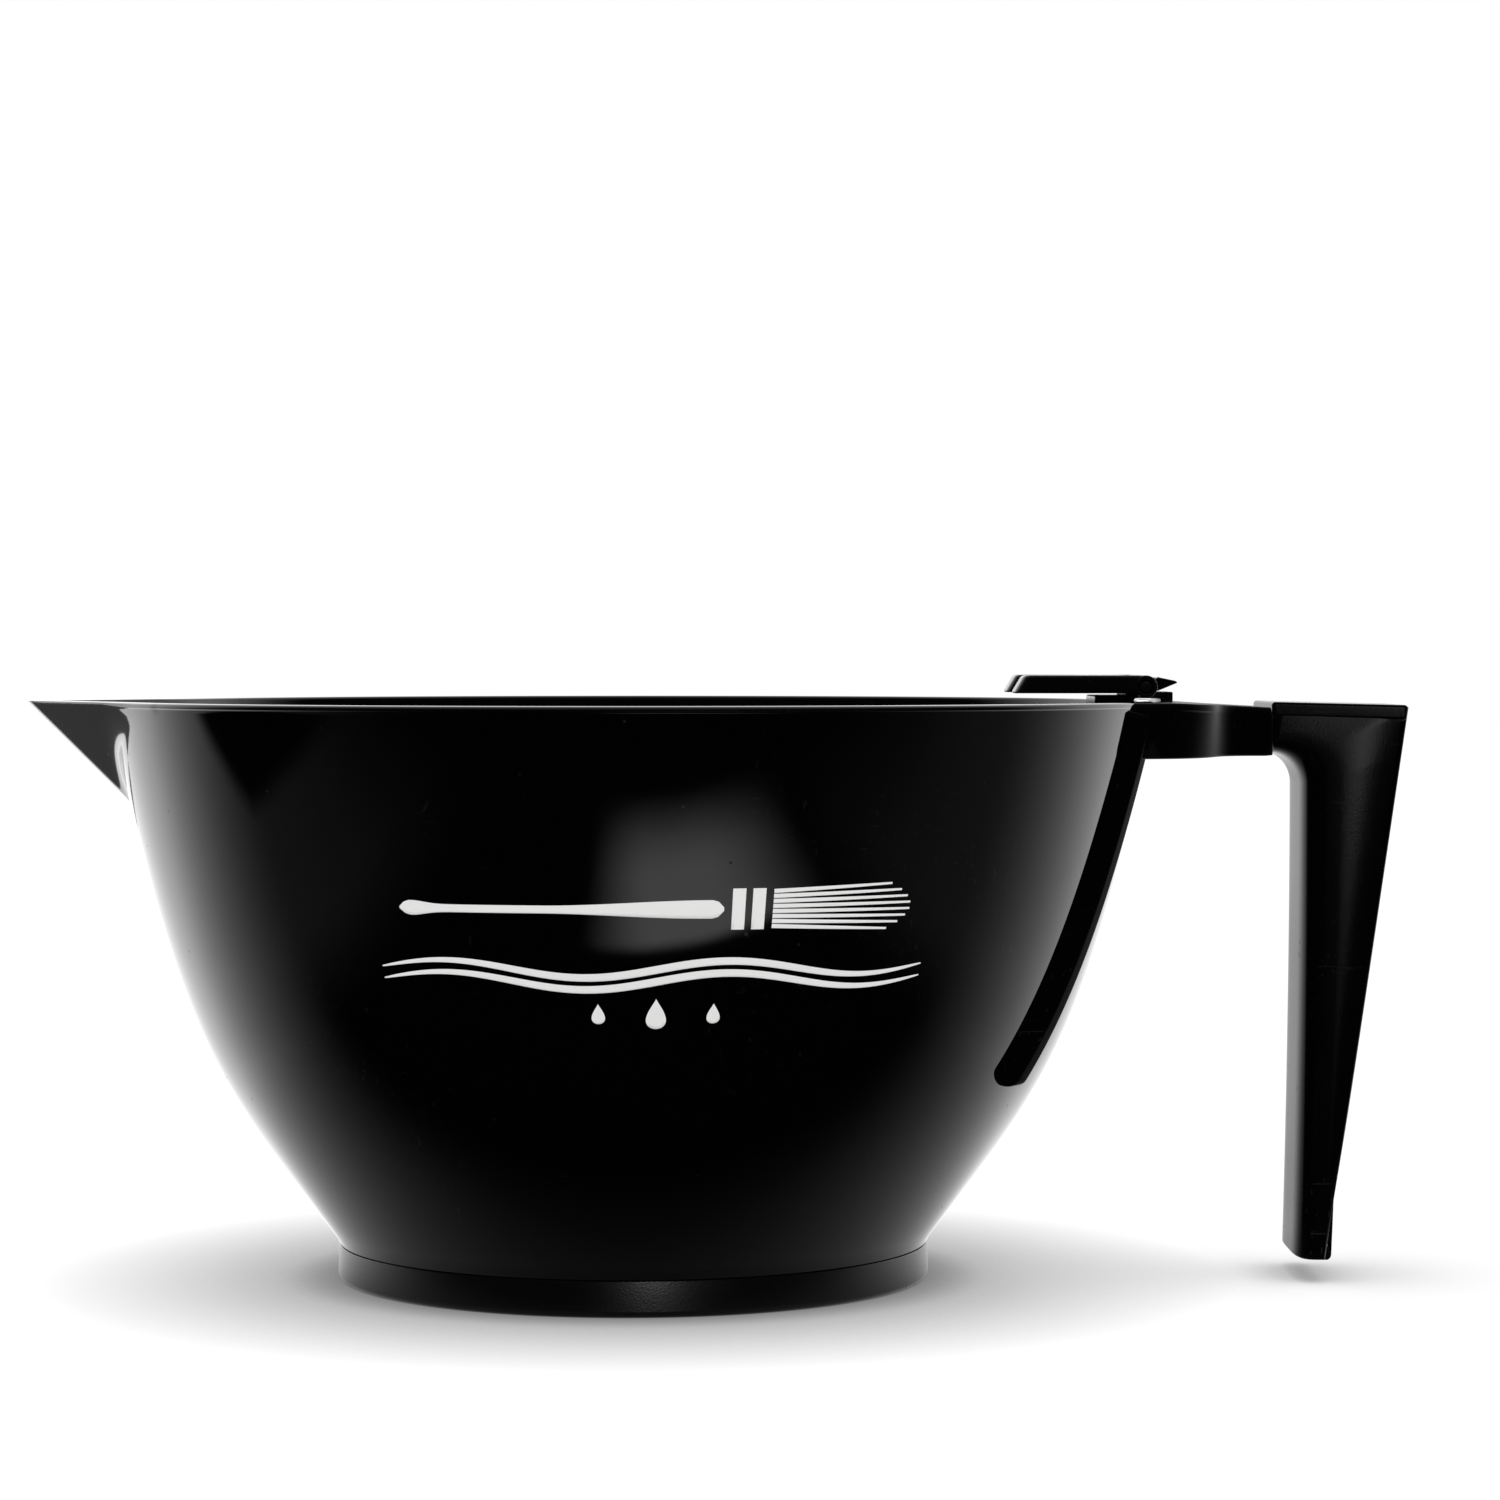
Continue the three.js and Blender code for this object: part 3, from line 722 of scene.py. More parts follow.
@dataclass
class Bowl:
    """The glossy bowl: wall, rim bead, spout, floor and the spigot that the ring sits on."""

    wall: float = 2.2
    bead_height: float = 0.8
    bead_proud: float = 0.35
    spout_half_width: float = 25.0
    keel_drop: float = 0.99
    spout_wall: float = 2.0
    spout_blend: float = 1.5
    tip_round: float = 0.0042
    floor_thickness: float = 2.6
    floor_round: float = 9.0
    spigot_wall: float = 2.5
    foot_set_in: float = 0.3
    rim_round: float = 0.6
    spout_round: float = 0.15
    columns: int = 320

    def __post_init__(self) -> None:
        """Reads the bowl's place from the model."""
        box, ring = node_box("bowl"), node_box("foot_ring")
        self.rim_radius = float(box.high[1])
        self.top = float(box.high[2])
        self.spout_reach = float(-box.low[0])
        self.spigot_bottom = float(box.low[2])
        self.foot_radius = float(ring.high[1])
        self.bottom = float(ring.high[2]) + FINE_SEAM
        self.curve = WallCurve(
            (self.foot_radius - self.foot_set_in, float(ring.high[2]) + SEAT_GAP),
            (self.rim_radius - self.bead_proud, self.top),
        )
        self.root_x = -math.sqrt(self.rim_radius**2 - self.spout_half_width**2)
        self.flare = self.spout_half_width / (self.spout_reach + self.root_x)
        self.floor = float(ring.high[2]) - self.spigot_bottom + self.floor_thickness

    @cached_property
    def angles(self) -> np.ndarray:
        """Angles round the axis from the spout, closest together at the spout.

        With u even from -1 to 1, the angle is pi (0.36 u + 0.64 u^3).
        """
        u = np.linspace(-1, 1, self.columns, endpoint=False) + 1 / self.columns
        return math.pi * (0.36 * u + 0.64 * u**3)

    @cached_property
    def roundness(self) -> np.ndarray:
        """Height of the rounding along the rim's top, at each angle: less at the spout."""
        share = smooth_step((np.abs(self.angles) - 0.25) / 0.2)
        return (self.spout_round + (self.rim_round - self.spout_round) * share)[None]

    def spout_radius(self, height: np.ndarray, set_back: float) -> np.ndarray:
        """Distance from the axis to the spout's V, at each height and angle.

        The V's point lies at A = reach - set back - (top - height) / drop from the axis, and
        its sides spread by the flare. At an angle a from the spout, a side is at
        flare A / (|sin a| + flare cos a), with |sin a| eased over a short stretch so that the
        keel is round. Past the middle of the chord that a side cuts from the rim, there is none.

        Args:
            height: heights, shape (rows, 1) or (rows, columns).
            set_back: how far the surface lies behind the outer one, along X.

        Returns:
            Distances of shape (rows, columns), with -1 where the V isn't.
        """
        point = self.spout_reach - set_back - (self.top - height) / self.keel_drop
        angle = np.abs(self.angles)[None]
        sine = np.sqrt(np.sin(angle) ** 2 + self.tip_round**2) - self.tip_round
        reach = self.flare * point / (sine + self.flare * np.cos(angle))
        chord_middle = math.pi / 2 - math.atan(self.flare) + 1e-9
        return np.where((angle < chord_middle) & (point > 0), reach, -1.0)

    def with_spout(self, radius: np.ndarray, height: np.ndarray, set_back: float) -> np.ndarray:
        """The larger of wall and spout, eased where they cross.

        Where they differ by less than k, the larger is raised by (k - difference)^2 / (4 k).

        Args:
            radius: radius of the plain wall, shape (rows, 1).
            height: heights, shape (rows, 1).
            set_back: how far this surface of the spout lies behind the outer one.

        Returns:
            Radii of shape (rows, columns).
        """
        spout = self.spout_radius(height, set_back)
        plain = np.broadcast_to(radius, spout.shape)
        near = np.maximum(self.spout_blend - np.abs(spout - plain), 0)
        return np.maximum(spout, plain) + near**2 / (4 * self.spout_blend)

    @property
    def spout_set_back(self) -> float:
        """How far back along X the inside of the V lies for the spout's wall thickness."""
        side = np.cross([1, self.flare, 0], [1, 0, -self.keel_drop])
        return float(self.spout_wall * np.linalg.norm(side) / abs(side[0]))

    def outer_rows(self) -> tuple[np.ndarray, np.ndarray]:
        """The outside, from the foot to the rounding of the rim's top.

        Returns:
            Radii of the plain wall and heights, each of shape (rows, columns).
        """
        bead_low = self.top - self.bead_height
        plain = np.concatenate([
            np.linspace(self.bottom, self.top - 14, 64, endpoint=False),
            np.linspace(self.top - 14, bead_low, 40),
        ])[:, None] * np.ones((1, self.columns))
        climb = np.linspace(0, 1, 9)[1:, None]
        bead = bead_low + climb * (self.top - self.roundness - bead_low)
        swell = self.bead_proud * smooth_step((bead - bead_low) / (1.4 * self.bead_proud))
        full = self.rim_radius - self.bead_proud
        rim = np.minimum(full, self.curve.radius(bead)) + swell
        return np.concatenate([self.curve.radius(plain), rim]), np.concatenate([plain, bead])

    def inner_heights(self) -> np.ndarray:
        """Heights of the inside, from the rounding of the rim's top to the floor's corner.

        Returns:
            Heights of shape (rows, columns).
        """
        low = self.floor + self.floor_round
        share = np.linspace(1, 0, 40, endpoint=False)[:, None]
        upper = self.top - 15 + share * (15 - self.roundness)
        lower = np.linspace(self.top - 15, low, 34)[:, None] * np.ones((1, self.columns))
        return np.concatenate([upper, lower])

    def floor_rows(self) -> np.ndarray:
        """The inside's round corner and its floor, down to the axis.

        Returns:
            Rows of [radius, height].
        """
        start_z = self.floor + self.floor_round
        start_r = float(self.curve.radius(start_z, -self.wall))
        lean = float(self.curve.lean(start_z))
        corner = np.array([start_r - lean * self.floor_round, self.floor])
        begin, end = np.array([start_r, start_z]), corner - np.array([self.floor_round, 0])
        t = np.linspace(0, 1, 16)[1:, None]
        bend = (1 - t) ** 2 * begin + 2 * t * (1 - t) * corner + t**2 * end
        flat = np.linspace(1, 0, 9)[1:, None] * np.array([[end[0], 0]]) + np.array([[0, self.floor]])
        return np.concatenate([bend, flat])

    def underside_rows(self) -> np.ndarray:
        """The way from the axis under the floor and round the spigot to the wall.

        Returns:
            Rows of [radius, height].
        """
        spigot = node_box("foot_ring").high[1] - 4 - SEAT_GAP
        under = self.floor - self.floor_thickness
        inner = spigot - self.spigot_wall
        path = np.array([
            [0, under], [inner, under], [inner, self.spigot_bottom], [spigot, self.spigot_bottom],
            [spigot, self.bottom], [self.foot_radius - self.foot_set_in, self.bottom],
        ])
        return softened(path, 0.12, 4, closed=False)

    def shell(self) -> Shell:
        """The whole bowl as one skin of rows from under the floor to the floor's middle.

        Over the rim, at a share f from outside to inside, the height is the top less
        h (1 - (1 - |2 f - 1|^3)^(1/3)), a squarish oval of height h.

        Returns:
            The closed shell.
        """
        across = np.ones((1, self.columns))
        under, floor = self.underside_rows(), self.floor_rows()
        radius_out, height_out = self.outer_rows()
        outside = self.with_spout(radius_out, height_out, 0.0)
        height_in = self.inner_heights()
        radius_in = self.curve.radius(height_in, -self.wall)
        inside = self.with_spout(radius_in, height_in, self.spout_set_back)
        share = ((1 - np.cos(np.linspace(0, math.pi, 13)[1:-1])) / 2)[:, None]
        rim = outside[-1:] * (1 - share) + inside[:1] * share
        squarish = (1 - np.abs(2 * share - 1) ** 3) ** (1 / 3)
        radii = np.concatenate([
            under[:, :1] * across, outside[1:], rim, inside, floor[:, :1] * across,
        ])
        heights = np.concatenate([
            under[:, 1:] * across, height_out[1:], self.top - self.roundness * (1 - squarish),
            height_in, floor[:, 1:] * across,
        ])
        grid = np.stack([
            -radii * np.cos(self.angles)[None],
            radii * np.sin(self.angles)[None],
            heights,
        ], axis=-1)
        return Shell.from_grid(grid, wrap=True)

    def build(self) -> None:
        """Makes the bowl."""
        Piece(
            "bowl_body", [self.shell()], BOWL_FINISH.material(), Slot.BOWL, stands_for=("bowl",),
            crease=60,
        ).make()


@dataclass
class Emblem:
    """A plain white pictogram on the front of the bowl: a tint brush, a stroke and three drops.

    It is drawn on the unrolled wall, with u in millimetres round the wall from the front and v
    the height, and lies on the wall as an ink film.
    """

    bowl: Bowl
    middle: float = 44.8
    shift: float = 4.2
    widening: float = 1.12
    flattening: float = 0.8
    film: float = 0.03
    ink: float = 0.02
    line: float = 0.55
    wave: float = 1.15

    def on_wall(self, u: np.ndarray, v: np.ndarray, lift: float) -> np.ndarray:
        """Points on the wall: the angle round the axis is u over the radius at the middle.

        Before that, u is widened and shifted, and v is flattened towards the middle.

        Args:
            u: distances round the wall.
            v: heights, of the same shape.
            lift: how far off the wall the points lie.

        Returns:
            The points, with X, Y and Z along the last axis.
        """
        v = self.middle + (v - self.middle) * self.flattening
        radius = self.bowl.curve.radius(v, lift)
        angle = (u * self.widening + self.shift) / float(self.bowl.curve.radius(self.middle))
        return np.stack([radius * np.sin(angle), -radius * np.cos(angle), v], axis=-1)

    def patch(self, u: np.ndarray, v: np.ndarray) -> Shell:
        """A film over a grid of u and v."""
        outer, inner = self.on_wall(u, v, self.film), self.on_wall(u, v, self.film - self.ink)
        return Shell.thick_sheet(outer, inner, 0.0)

    def ribbon(self, path: np.ndarray, half_width: np.ndarray) -> Shell:
        """A band along a path.

        Args:
            path: points of [u, v].
            half_width: the band's half width at each point.

        Returns:
            The band as a film.
        """
        along = np.gradient(path, axis=0)
        along /= np.linalg.norm(along, axis=1, keepdims=True)
        side = np.stack([-along[:, 1], along[:, 0]], axis=1)
        across = np.linspace(-1, 1, 5)[None, :, None]
        at = path[:, None] + side[:, None] * across * half_width[:, None, None]
        return self.patch(at[..., 0], at[..., 1])

    def drop(self, u: float, v: float, radius: float) -> Shell:
        """A drop with its point at the top.

        At an angle a from the point, the outline is at u + r sin a sin(a/2)^1.5 and
        v + 1.45 r cos a, and shares of it fill the inside.

        Args:
            u: the drop's place round the wall.
            v: its height.
            radius: the r above.

        Returns:
            The drop as a film.
        """
        a = np.linspace(0, 2 * math.pi, 49)
        edge_u = radius * np.sin(a) * np.abs(np.sin(a / 2)) ** 1.5
        edge_v = 1.45 * radius * np.cos(a)
        share = np.linspace(0.02, 1, 5)[:, None]
        return self.patch(u + share * edge_u[None, :], v + share * edge_v[None, :])

    def straight(self, start: tuple[float, float], end: tuple[float, float], count: int) -> np.ndarray:
        """Even points from one place to another."""
        t = np.linspace(0, 1, count)[:, None]
        return (1 - t) * np.array(start) + t * np.array(end)

    def brush(self) -> list[Shell]:
        """The brush: a tapered handle, two ferrule bands and a fan of bristles.

        The handle's half width is 0.55, with a smooth rise of 0.75 over its second half and a
        bell of 0.5 near its end, and falls to nothing at both ends as a square root.

        Returns:
            One film for each stroke of the drawing.
        """
        v = self.middle + 5.2
        shells = []
        t = np.linspace(0, 1, 60)
        handle = self.straight((-26, v), (6.5, v), 60)
        waist = 0.55 + 0.75 * smooth_step((t - 0.45) / 0.5) + 0.5 * np.exp(-((t - 0.04) / 0.06) ** 2)
        round_ends = np.sqrt(np.clip(np.minimum(t, 1 - t) * 40, 0.04, 1))
        shells.append(self.ribbon(handle, waist * round_ends))
        for start in (7.3, 9.3):
            shells.append(self.ribbon(self.straight((start, v), (start + 1.3, v), 4), np.full(4, 2.9)))
        count = 8
        for i in range(count):
            offset = (i - (count - 1) / 2) * 0.82
            tip = 26.4 - 0.3 * offset**2
            path = self.straight((11.4, v + offset * 0.86), (tip, v + offset * 1.12), 24)
            shells.append(self.ribbon(path, 0.3 * np.sqrt(np.linspace(1.0, 0.25, 24))))
        return shells

    def stroke(self) -> list[Shell]:
        """The stroke: two waved lines, v = a sin(k u), thick in the middle and thin at the ends.

        Returns:
            One film for each line.
        """
        u = np.linspace(-29.0, 29.0, 120)
        shells = []
        for drop in (3.3, 5.0):
            v = self.middle - drop + self.wave * np.sin(2 * math.pi * u / 29.0)
            body = self.line * np.sqrt(np.clip(1 - (u / 29.4) ** 2, 0.02, 1))
            shells.append(self.ribbon(np.stack([u, v], axis=1), body))
        return shells

    def build(self) -> None:
        """Makes the emblem as one piece."""
        sizes = ((-6.0, 1.0), (0.0, 1.5), (6.0, 1.0))
        drops = [self.drop(u, self.middle - 9.6, radius) for u, radius in sizes]
        shells = self.brush() + self.stroke() + drops
        Piece("emblem_print", shells, PRINT_FINISH.material(), Slot.BOWL, crease=80).make()


@dataclass
class FootRing:
    """The rubber ring under the bowl, with a soft outer edge and a groove in its tread."""

    wall: float = 4.0
    edge: float = 0.8
    top_edge: float = 0.15
    crown: float = 0.25
    groove_depth: float = 0.5
    groove_width: float = 1.1
    columns: int = 192

    def build(self) -> bpy.types.Object:
        """Makes the ring from a closed profile turned about the bowl's axis.

        The upper edges' rounding is pressed flatter, and the outer side is drawn in by
        crown (z / middle - 1)^2.

        Returns:
            The ring.
        """
        box = node_box("foot_ring")
        outer, top = float(box.high[1]), float(box.high[2])
        inner = outer - self.wall
        groove = (outer + inner) / 2
        half = self.groove_width / 2
        corners = np.array([[inner, 0], [outer, 0], [outer, top], [inner, top]], float)
        foot = softened(corners, self.edge, 7)
        tread = np.array([
            [groove - half, 0], [groove - half * 0.6, self.groove_depth],
            [groove + half * 0.6, self.groove_depth], [groove + half, 0],
        ])
        foot = np.concatenate([foot[:7], tread, foot[7:]])
        pressed = top - (top - foot[:, 1]) * self.top_edge / self.edge
        foot[:, 1] = np.where(foot[:, 1] > top / 2, pressed, foot[:, 1])
        away = (foot[:, 1] / (top / 2) - 1) ** 2
        foot[:, 0] -= np.where(foot[:, 0] > groove + half, self.crown * away, 0)
        angle = np.linspace(0, 2 * math.pi, self.columns, endpoint=False)[None]
        closed = np.concatenate([foot, foot[:1]])
        grid = np.stack([
            closed[:, :1] * np.cos(angle), closed[:, :1] * np.sin(angle),
            closed[:, 1:] * np.ones_like(angle),
        ], axis=-1)
        return Piece(
            "foot_ring_rubber", [Shell.from_grid(grid)], RING_FINISH.material(), Slot.RING,
            stands_for=("foot_ring",),
        ).make()


# ---------------------------------------------------------------- handle


@dataclass
class Cradle:
    """The moulding that hugs the bowl: a hollow arm, two prongs and a tongue for the grip."""

    bowl: Bowl
    half_width: float = 26.7
    depth: float = 6.3
    skin: float = 2.2
    edge: float = 1.2
    slope: float = 3.0
    neck_length: float = 1.5
    arm_length: float = 13.0
    shoulder_pull: float = 0.55
    slot_half_width: float = 6.9
    slot_reach: float = 2.1
    tongue_length: float = 9.5
    prong_depth: float = 2.7
    prong_width: float = 2.4
    prong_splay: float = 5.0
    prong_end: float = 27.8

    def __post_init__(self) -> None:
        """Reads the arm's place from the model."""
        self.top = float(node_box("handle_cradle").high[2])
        self.bottom = self.top - self.depth
        self.end = self.bowl.rim_radius + self.arm_length
        self.neck_half = float(node_box("handle_grip").high[1]) - SEAT_GAP

    def wall_front(self, y: np.ndarray, z: np.ndarray) -> np.ndarray:
        """X of the arm's inner side: the rim bead and the wall, with the latch's slot cut in.

        Args:
            y: places across the arm.
            z: heights, of the same shape.

        Returns:
            The X of each point.
        """
        bowl = self.bowl
        wall = bowl.curve.radius(z, SEAT_GAP)
        beside_bead = smooth_step((z - (bowl.top - bowl.bead_height - SEAT_GAP)) / SEAT_GAP)
        reach = wall + (bowl.rim_radius + SEAT_GAP - wall) * beside_bead
        slot = bowl.rim_radius + self.slot_reach
        return np.where(np.abs(y) < self.slot_half_width, slot, np.sqrt(reach**2 - y**2))

    def side_path(self) -> np.ndarray:
        """The arm's side in plan, from the wall past the shoulder to the neck's end.

        The shoulder is a cubic curve (1-t)^3 A + 3 t (1-t)^2 B + 3 t^2 (1-t) C + t^3 D that
        leaves and ends along X.

        Returns:
            Evenly spaced points of [X, Y].
        """
        start = math.sqrt(self.bowl.rim_radius**2 - self.half_width**2) + self.prong_depth
        neck = self.end - self.neck_length
        pull = self.shoulder_pull * (neck - start)
        t = np.linspace(0, 1, 60)[:, None]
        a, b = np.array([start, self.half_width]), np.array([start + pull, self.half_width])
        c, d = np.array([neck - pull, self.neck_half]), np.array([neck, self.neck_half])
        bend = (1 - t) ** 3 * a + 3 * t * (1 - t) ** 2 * b + 3 * t**2 * (1 - t) * c + t**3 * d
        front = self.wall_front(np.array([self.half_width]), np.array([self.top]))
        first = np.array([[front[0], self.half_width]])
        last = np.array([[self.end + SEAT_GAP - FINE_SEAM, self.neck_half]])
        return resampled(np.concatenate([first, bend, last]), 44)

    def across(self, inset: float, wide: np.ndarray) -> np.ndarray:
        """One section of the arm as [Y, Z] points, an upside-down U with round shoulders.

        Args:
            inset: how far this skin lies inside the outer one.
            wide: half width of the arm at each station, shape (stations, 1).

        Returns:
            Points of shape (stations, points, 2). The legs and corners keep their size, and
            the flat middle takes up the change in width.
        """
        base = self.half_width
        half, top = base - inset, self.top - inset
        radius = max(self.edge - inset, 0.35)
        turn = np.linspace(0, math.pi / 2, 9)
        leg = np.linspace(self.bottom, top - radius, 6)[:-1]
        slot = self.slot_half_width
        flat = np.concatenate([
            np.linspace(half - radius, slot + 0.05, 12), np.linspace(slot - 0.05, 0, 6),
        ])[1:]
        y = np.concatenate([np.full(5, half), half - radius + radius * np.cos(turn), flat])
        z = np.concatenate([leg, top - radius + radius * np.sin(turn), np.full(len(flat), top)])
        y = np.concatenate([y, -y[-2::-1]])
        z = np.concatenate([z, z[-2::-1]])
        keep = 4.0
        side, size = np.sign(y), np.abs(y)
        moved = np.where(size > base - keep, wide - (base - size), size * (wide - keep) / (base - keep))
        return np.stack([side * moved, np.broadcast_to(z, moved.shape)], axis=-1)

    def skin_grid(self, inset: float) -> np.ndarray:
        """One skin of the arm, shape (stations, points, 3).

        At a station whose side lies at (xs, w), a point lies at X = xs + (1 - b) (the wall's X
        at the point - the wall's X at the first station's side), so the first station follows
        the wall and, as b goes from 0 to 1, the last one is straight.

        Args:
            inset: how far this skin lies inside the outer one.

        Returns:
            The skin's points.
        """
        path = self.side_path()
        wide = path[:, 1:]
        section = self.across(inset, wide)
        y, z = section[..., 0], section[..., 1]
        blend = smooth_step(np.linspace(0, 1.15, len(path)))[:, None]
        x = path[:, :1] + (1 - blend) * (self.wall_front(y, z) - path[0, 0])
        fall = math.tan(math.radians(self.slope)) * np.maximum(x - self.bowl.rim_radius, 0)
        z = z - fall * smooth_step((z - self.bottom) / (self.depth - self.skin))
        return np.stack([x, y, z], axis=-1)

    def prong(self, side: int) -> Shell:
        """One prong that follows the wall down.

        Its middle line lies half its depth and a seat gap outside the wall, at
        y = middle + tan(splay) (top - z). Its sides stand along X, and its inner and outer faces
        run along the wall, so its section is a rounded rhomboid. Over the last stretch, its
        depth follows a half circle to nothing.

        Args:
            side: 1 or -1, the side of the arm that it is on.

        Returns:
            The prong as a closed shell.
        """
        radius = self.prong_depth / 2
        low = self.prong_end - radius * 0.85
        t = np.linspace(0, 1, 90)
        z = self.top - 1.2 - (self.top - 1.2 - low) * (1 - (1 - t) ** 1.6)
        away = self.bowl.curve.radius(z, SEAT_GAP + radius)
        middle = self.half_width - self.prong_width / 2
        y = side * (middle + math.tan(math.radians(self.prong_splay)) * (self.top - z))
        line = np.stack([np.sqrt(away**2 - y**2), y, z], axis=1)
        along = np.gradient(line, axis=0)
        wide = np.stack([-y / line[:, 0], np.ones_like(y), np.zeros_like(y)], axis=1)
        deep = np.stack([-along[:, 2], np.zeros_like(y), along[:, 0]], axis=1)
        deep /= np.linalg.norm(deep, axis=1, keepdims=True)
        out = np.stack([line[:, 0] / away, y / away, -self.bowl.curve.lean(z)], axis=1)
        out /= np.linalg.norm(out, axis=1, keepdims=True)
        deep /= np.sum(out * deep, axis=1, keepdims=True)
        steps = np.linalg.norm(np.diff(line, axis=0), axis=1)
        left = np.concatenate([np.cumsum(steps[::-1])[::-1], [0.0]])
        round_end = np.sqrt(np.clip(1 - (1 - np.clip(left / radius, 0, 1)) ** 2, 0.0, 1))
        corners = np.array([[-1, -1], [1, -1], [1, 1], [-1, 1]], float)
        box = softened(corners * np.array([self.prong_width / 2, radius]), 0.5, 6)
        grid = (
            line[:, None]
            + wide[:, None] * box[None, :, :1]
            + deep[:, None] * box[None, :, 1:] * round_end[:, None, None]
        )
        return Shell.from_grid(grid, wrap=True, caps=True)

    def tongue(self) -> Shell:
        """The tongue that the grip slides over: a plate with a chamfered nose.

        Returns:
            The closed shell.
        """
        grip_skin, roof = 1.8, 1.4
        low, high = self.bottom + grip_skin + SEAT_GAP, self.top - roof
        tip = self.end + SEAT_GAP + self.tongue_length
        chamfer = (high - low) / 2
        root = self.end - self.neck_length - self.skin
        outline = np.array([
            [root, low], [tip - chamfer, low], [tip, low + chamfer], [tip, high], [root, high],
        ])
        half = self.neck_half - grip_skin
        return Shell.slab(softened(outline, 0.3, 4), -half, half, 0.25, FROM_THE_SIDE)

    def build(self) -> None:
        """Makes the cradle."""
        arm = Shell.thick_sheet(self.skin_grid(0.0), self.skin_grid(self.skin), 0.35)
        Piece(
            "handle_cradle_moulding", [arm, self.prong(1), self.prong(-1), self.tongue()],
            CRADLE_FINISH.material(), Slot.HANDLE, stands_for=("handle_cradle",), mirrored=False,
        ).make()


@dataclass
class Grip:
    """The downturned grip: a hollow moulding open outwards, with a lid, a floor and ribs."""

    skin: float = 1.8
    crown: float = 0.6
    lid: float = 1.9
    knee: float = 4.0
    finger_room: float = 17.4
    foot_depth: float = 4.0
    foot_shift: float = 0.8
    foot_half_width: float = 9.2
    corner_drop: float = 0.4
    lid_set_back: float = 0.15
    nose_seam: float = 2.4
    nose: float = 4.5
    nose_foot: float = 3.3
    nose_fullness: float = 4.5
    ribs: int = 4
    rib_thickness: float = 1.2
    rib_set_back: float = 1.5
    flange: float = 6.3
    edge: float = 0.45

    def __post_init__(self) -> None:
        """Reads the grip's place from the model."""
        box, bowl = node_box("handle_grip"), node_box("bowl")
        self.seam = float(box.low[0])
        self.reach = float(box.high[0])
        self.half_width = float(box.high[1])
        self.low = float(box.low[2])
        self.top = float(box.high[2])
        self.nose_x = float(bowl.high[1]) + self.finger_room
        self.foot_x = self.nose_x - self.foot_shift
        self.arm_bottom = float(node_box("handle_cradle").high[2]) - self.flange
        self.knee_z = self.arm_bottom - self.knee

    def stations(self) -> dict[str, np.ndarray]:
        """Stations from the seam round the knee to the foot.

        Returns:
            Arrays by name: the finger face's points, the outer edge's points, the half widths
            and how deep the rounded finger face is.
        """
        corner = np.array([self.reach, self.top - self.corner_drop])
        low = self.low + self.edge
        foot_edge = np.array([self.foot_x + self.foot_depth, low])
        t = np.linspace(0, 1, 26)[:, None]
        turn = t * math.pi / 2
        knee = np.concatenate([
            self.nose_x - self.knee * (1 - np.sin(turn)), self.knee_z + self.knee * np.cos(turn),
        ], axis=1)
        flange_share = self.flange / (corner[1] - foot_edge[1])
        leg_edge = corner + (foot_edge - corner) * flange_share
        seam_edge = np.array([self.seam + self.edge, self.top])
        edge_top = seam_edge + (corner - seam_edge) * np.minimum(2 * t, 1)
        edge_side = corner + (leg_edge - corner) * np.maximum(2 * t - 1, 0)
        knee_edge = np.where(t < 0.5, edge_top, edge_side)
        s = np.linspace(0, 1, 60)[1:, None]
        leg = np.concatenate([
            self.nose_x - self.foot_shift * s**2, self.knee_z + (low - self.knee_z) * s,
        ], axis=1)
        knee[0, 0] = self.seam + self.edge
        width_knee = np.full_like(t, self.half_width)
        nose_knee = self.nose_seam + (self.nose - self.nose_seam) * np.minimum(1, 2 * t)
        width_leg = self.half_width + (self.foot_half_width - self.half_width) * s
        nose_leg = self.nose + (self.nose_foot - self.nose) * s
        return {
            "nose": np.concatenate([knee, leg]),
            "edge": np.concatenate([knee_edge, leg_edge + (foot_edge - leg_edge) * s]),
            "half": np.concatenate([width_knee, width_leg]),
            "depth": np.concatenate([nose_knee, nose_leg]),
        }

    def skin_grid(self, inset: float, trim: float) -> np.ndarray:
        """One skin of the grip, from one outer edge round the finger face to the other.

        With c the distance back from the finger face and d the depth of its rounding, the
        half width is w (1 - (1 - c / d)^n)^(1/n) up to c = d, and w less crown u^2 beyond, with
        u from 0 to 1 at the edge.

        Args:
            inset: how far this skin lies inside the outer one.
            trim: how far it stops short of the outer edge.

        Returns:
            Points of shape (stations, points, 3).
        """
        s = self.stations()
        chord = s["edge"] - s["nose"]
        length = np.linalg.norm(chord, axis=1, keepdims=True)
        back = chord / length
        half = s["half"] - inset
        depth = s["depth"] * half / s["half"]
        a = np.linspace(math.pi / 2, 0, 17)[None]
        power = 2 / self.nose_fullness
        round_c = inset + depth * (1 - np.sin(a) ** power)
        round_y = half * np.cos(a) ** power
        u = np.linspace(0, 1, 15)[None, 1:]
        side_c = (inset + depth) + (length - trim - inset - depth) * u
        side_y = half - self.crown * u**2
        c = np.concatenate([round_c, side_c], axis=1)
        y = np.concatenate([round_y, side_y], axis=1)
        c = np.concatenate([c[:, :0:-1], c], axis=1)
        y = np.concatenate([-y[:, :0:-1], y], axis=1)
        x = s["nose"][:, :1] + back[:, :1] * c
        z = s["nose"][:, 1:] + back[:, 1:] * c
        return np.stack([x, y, z], axis=-1)

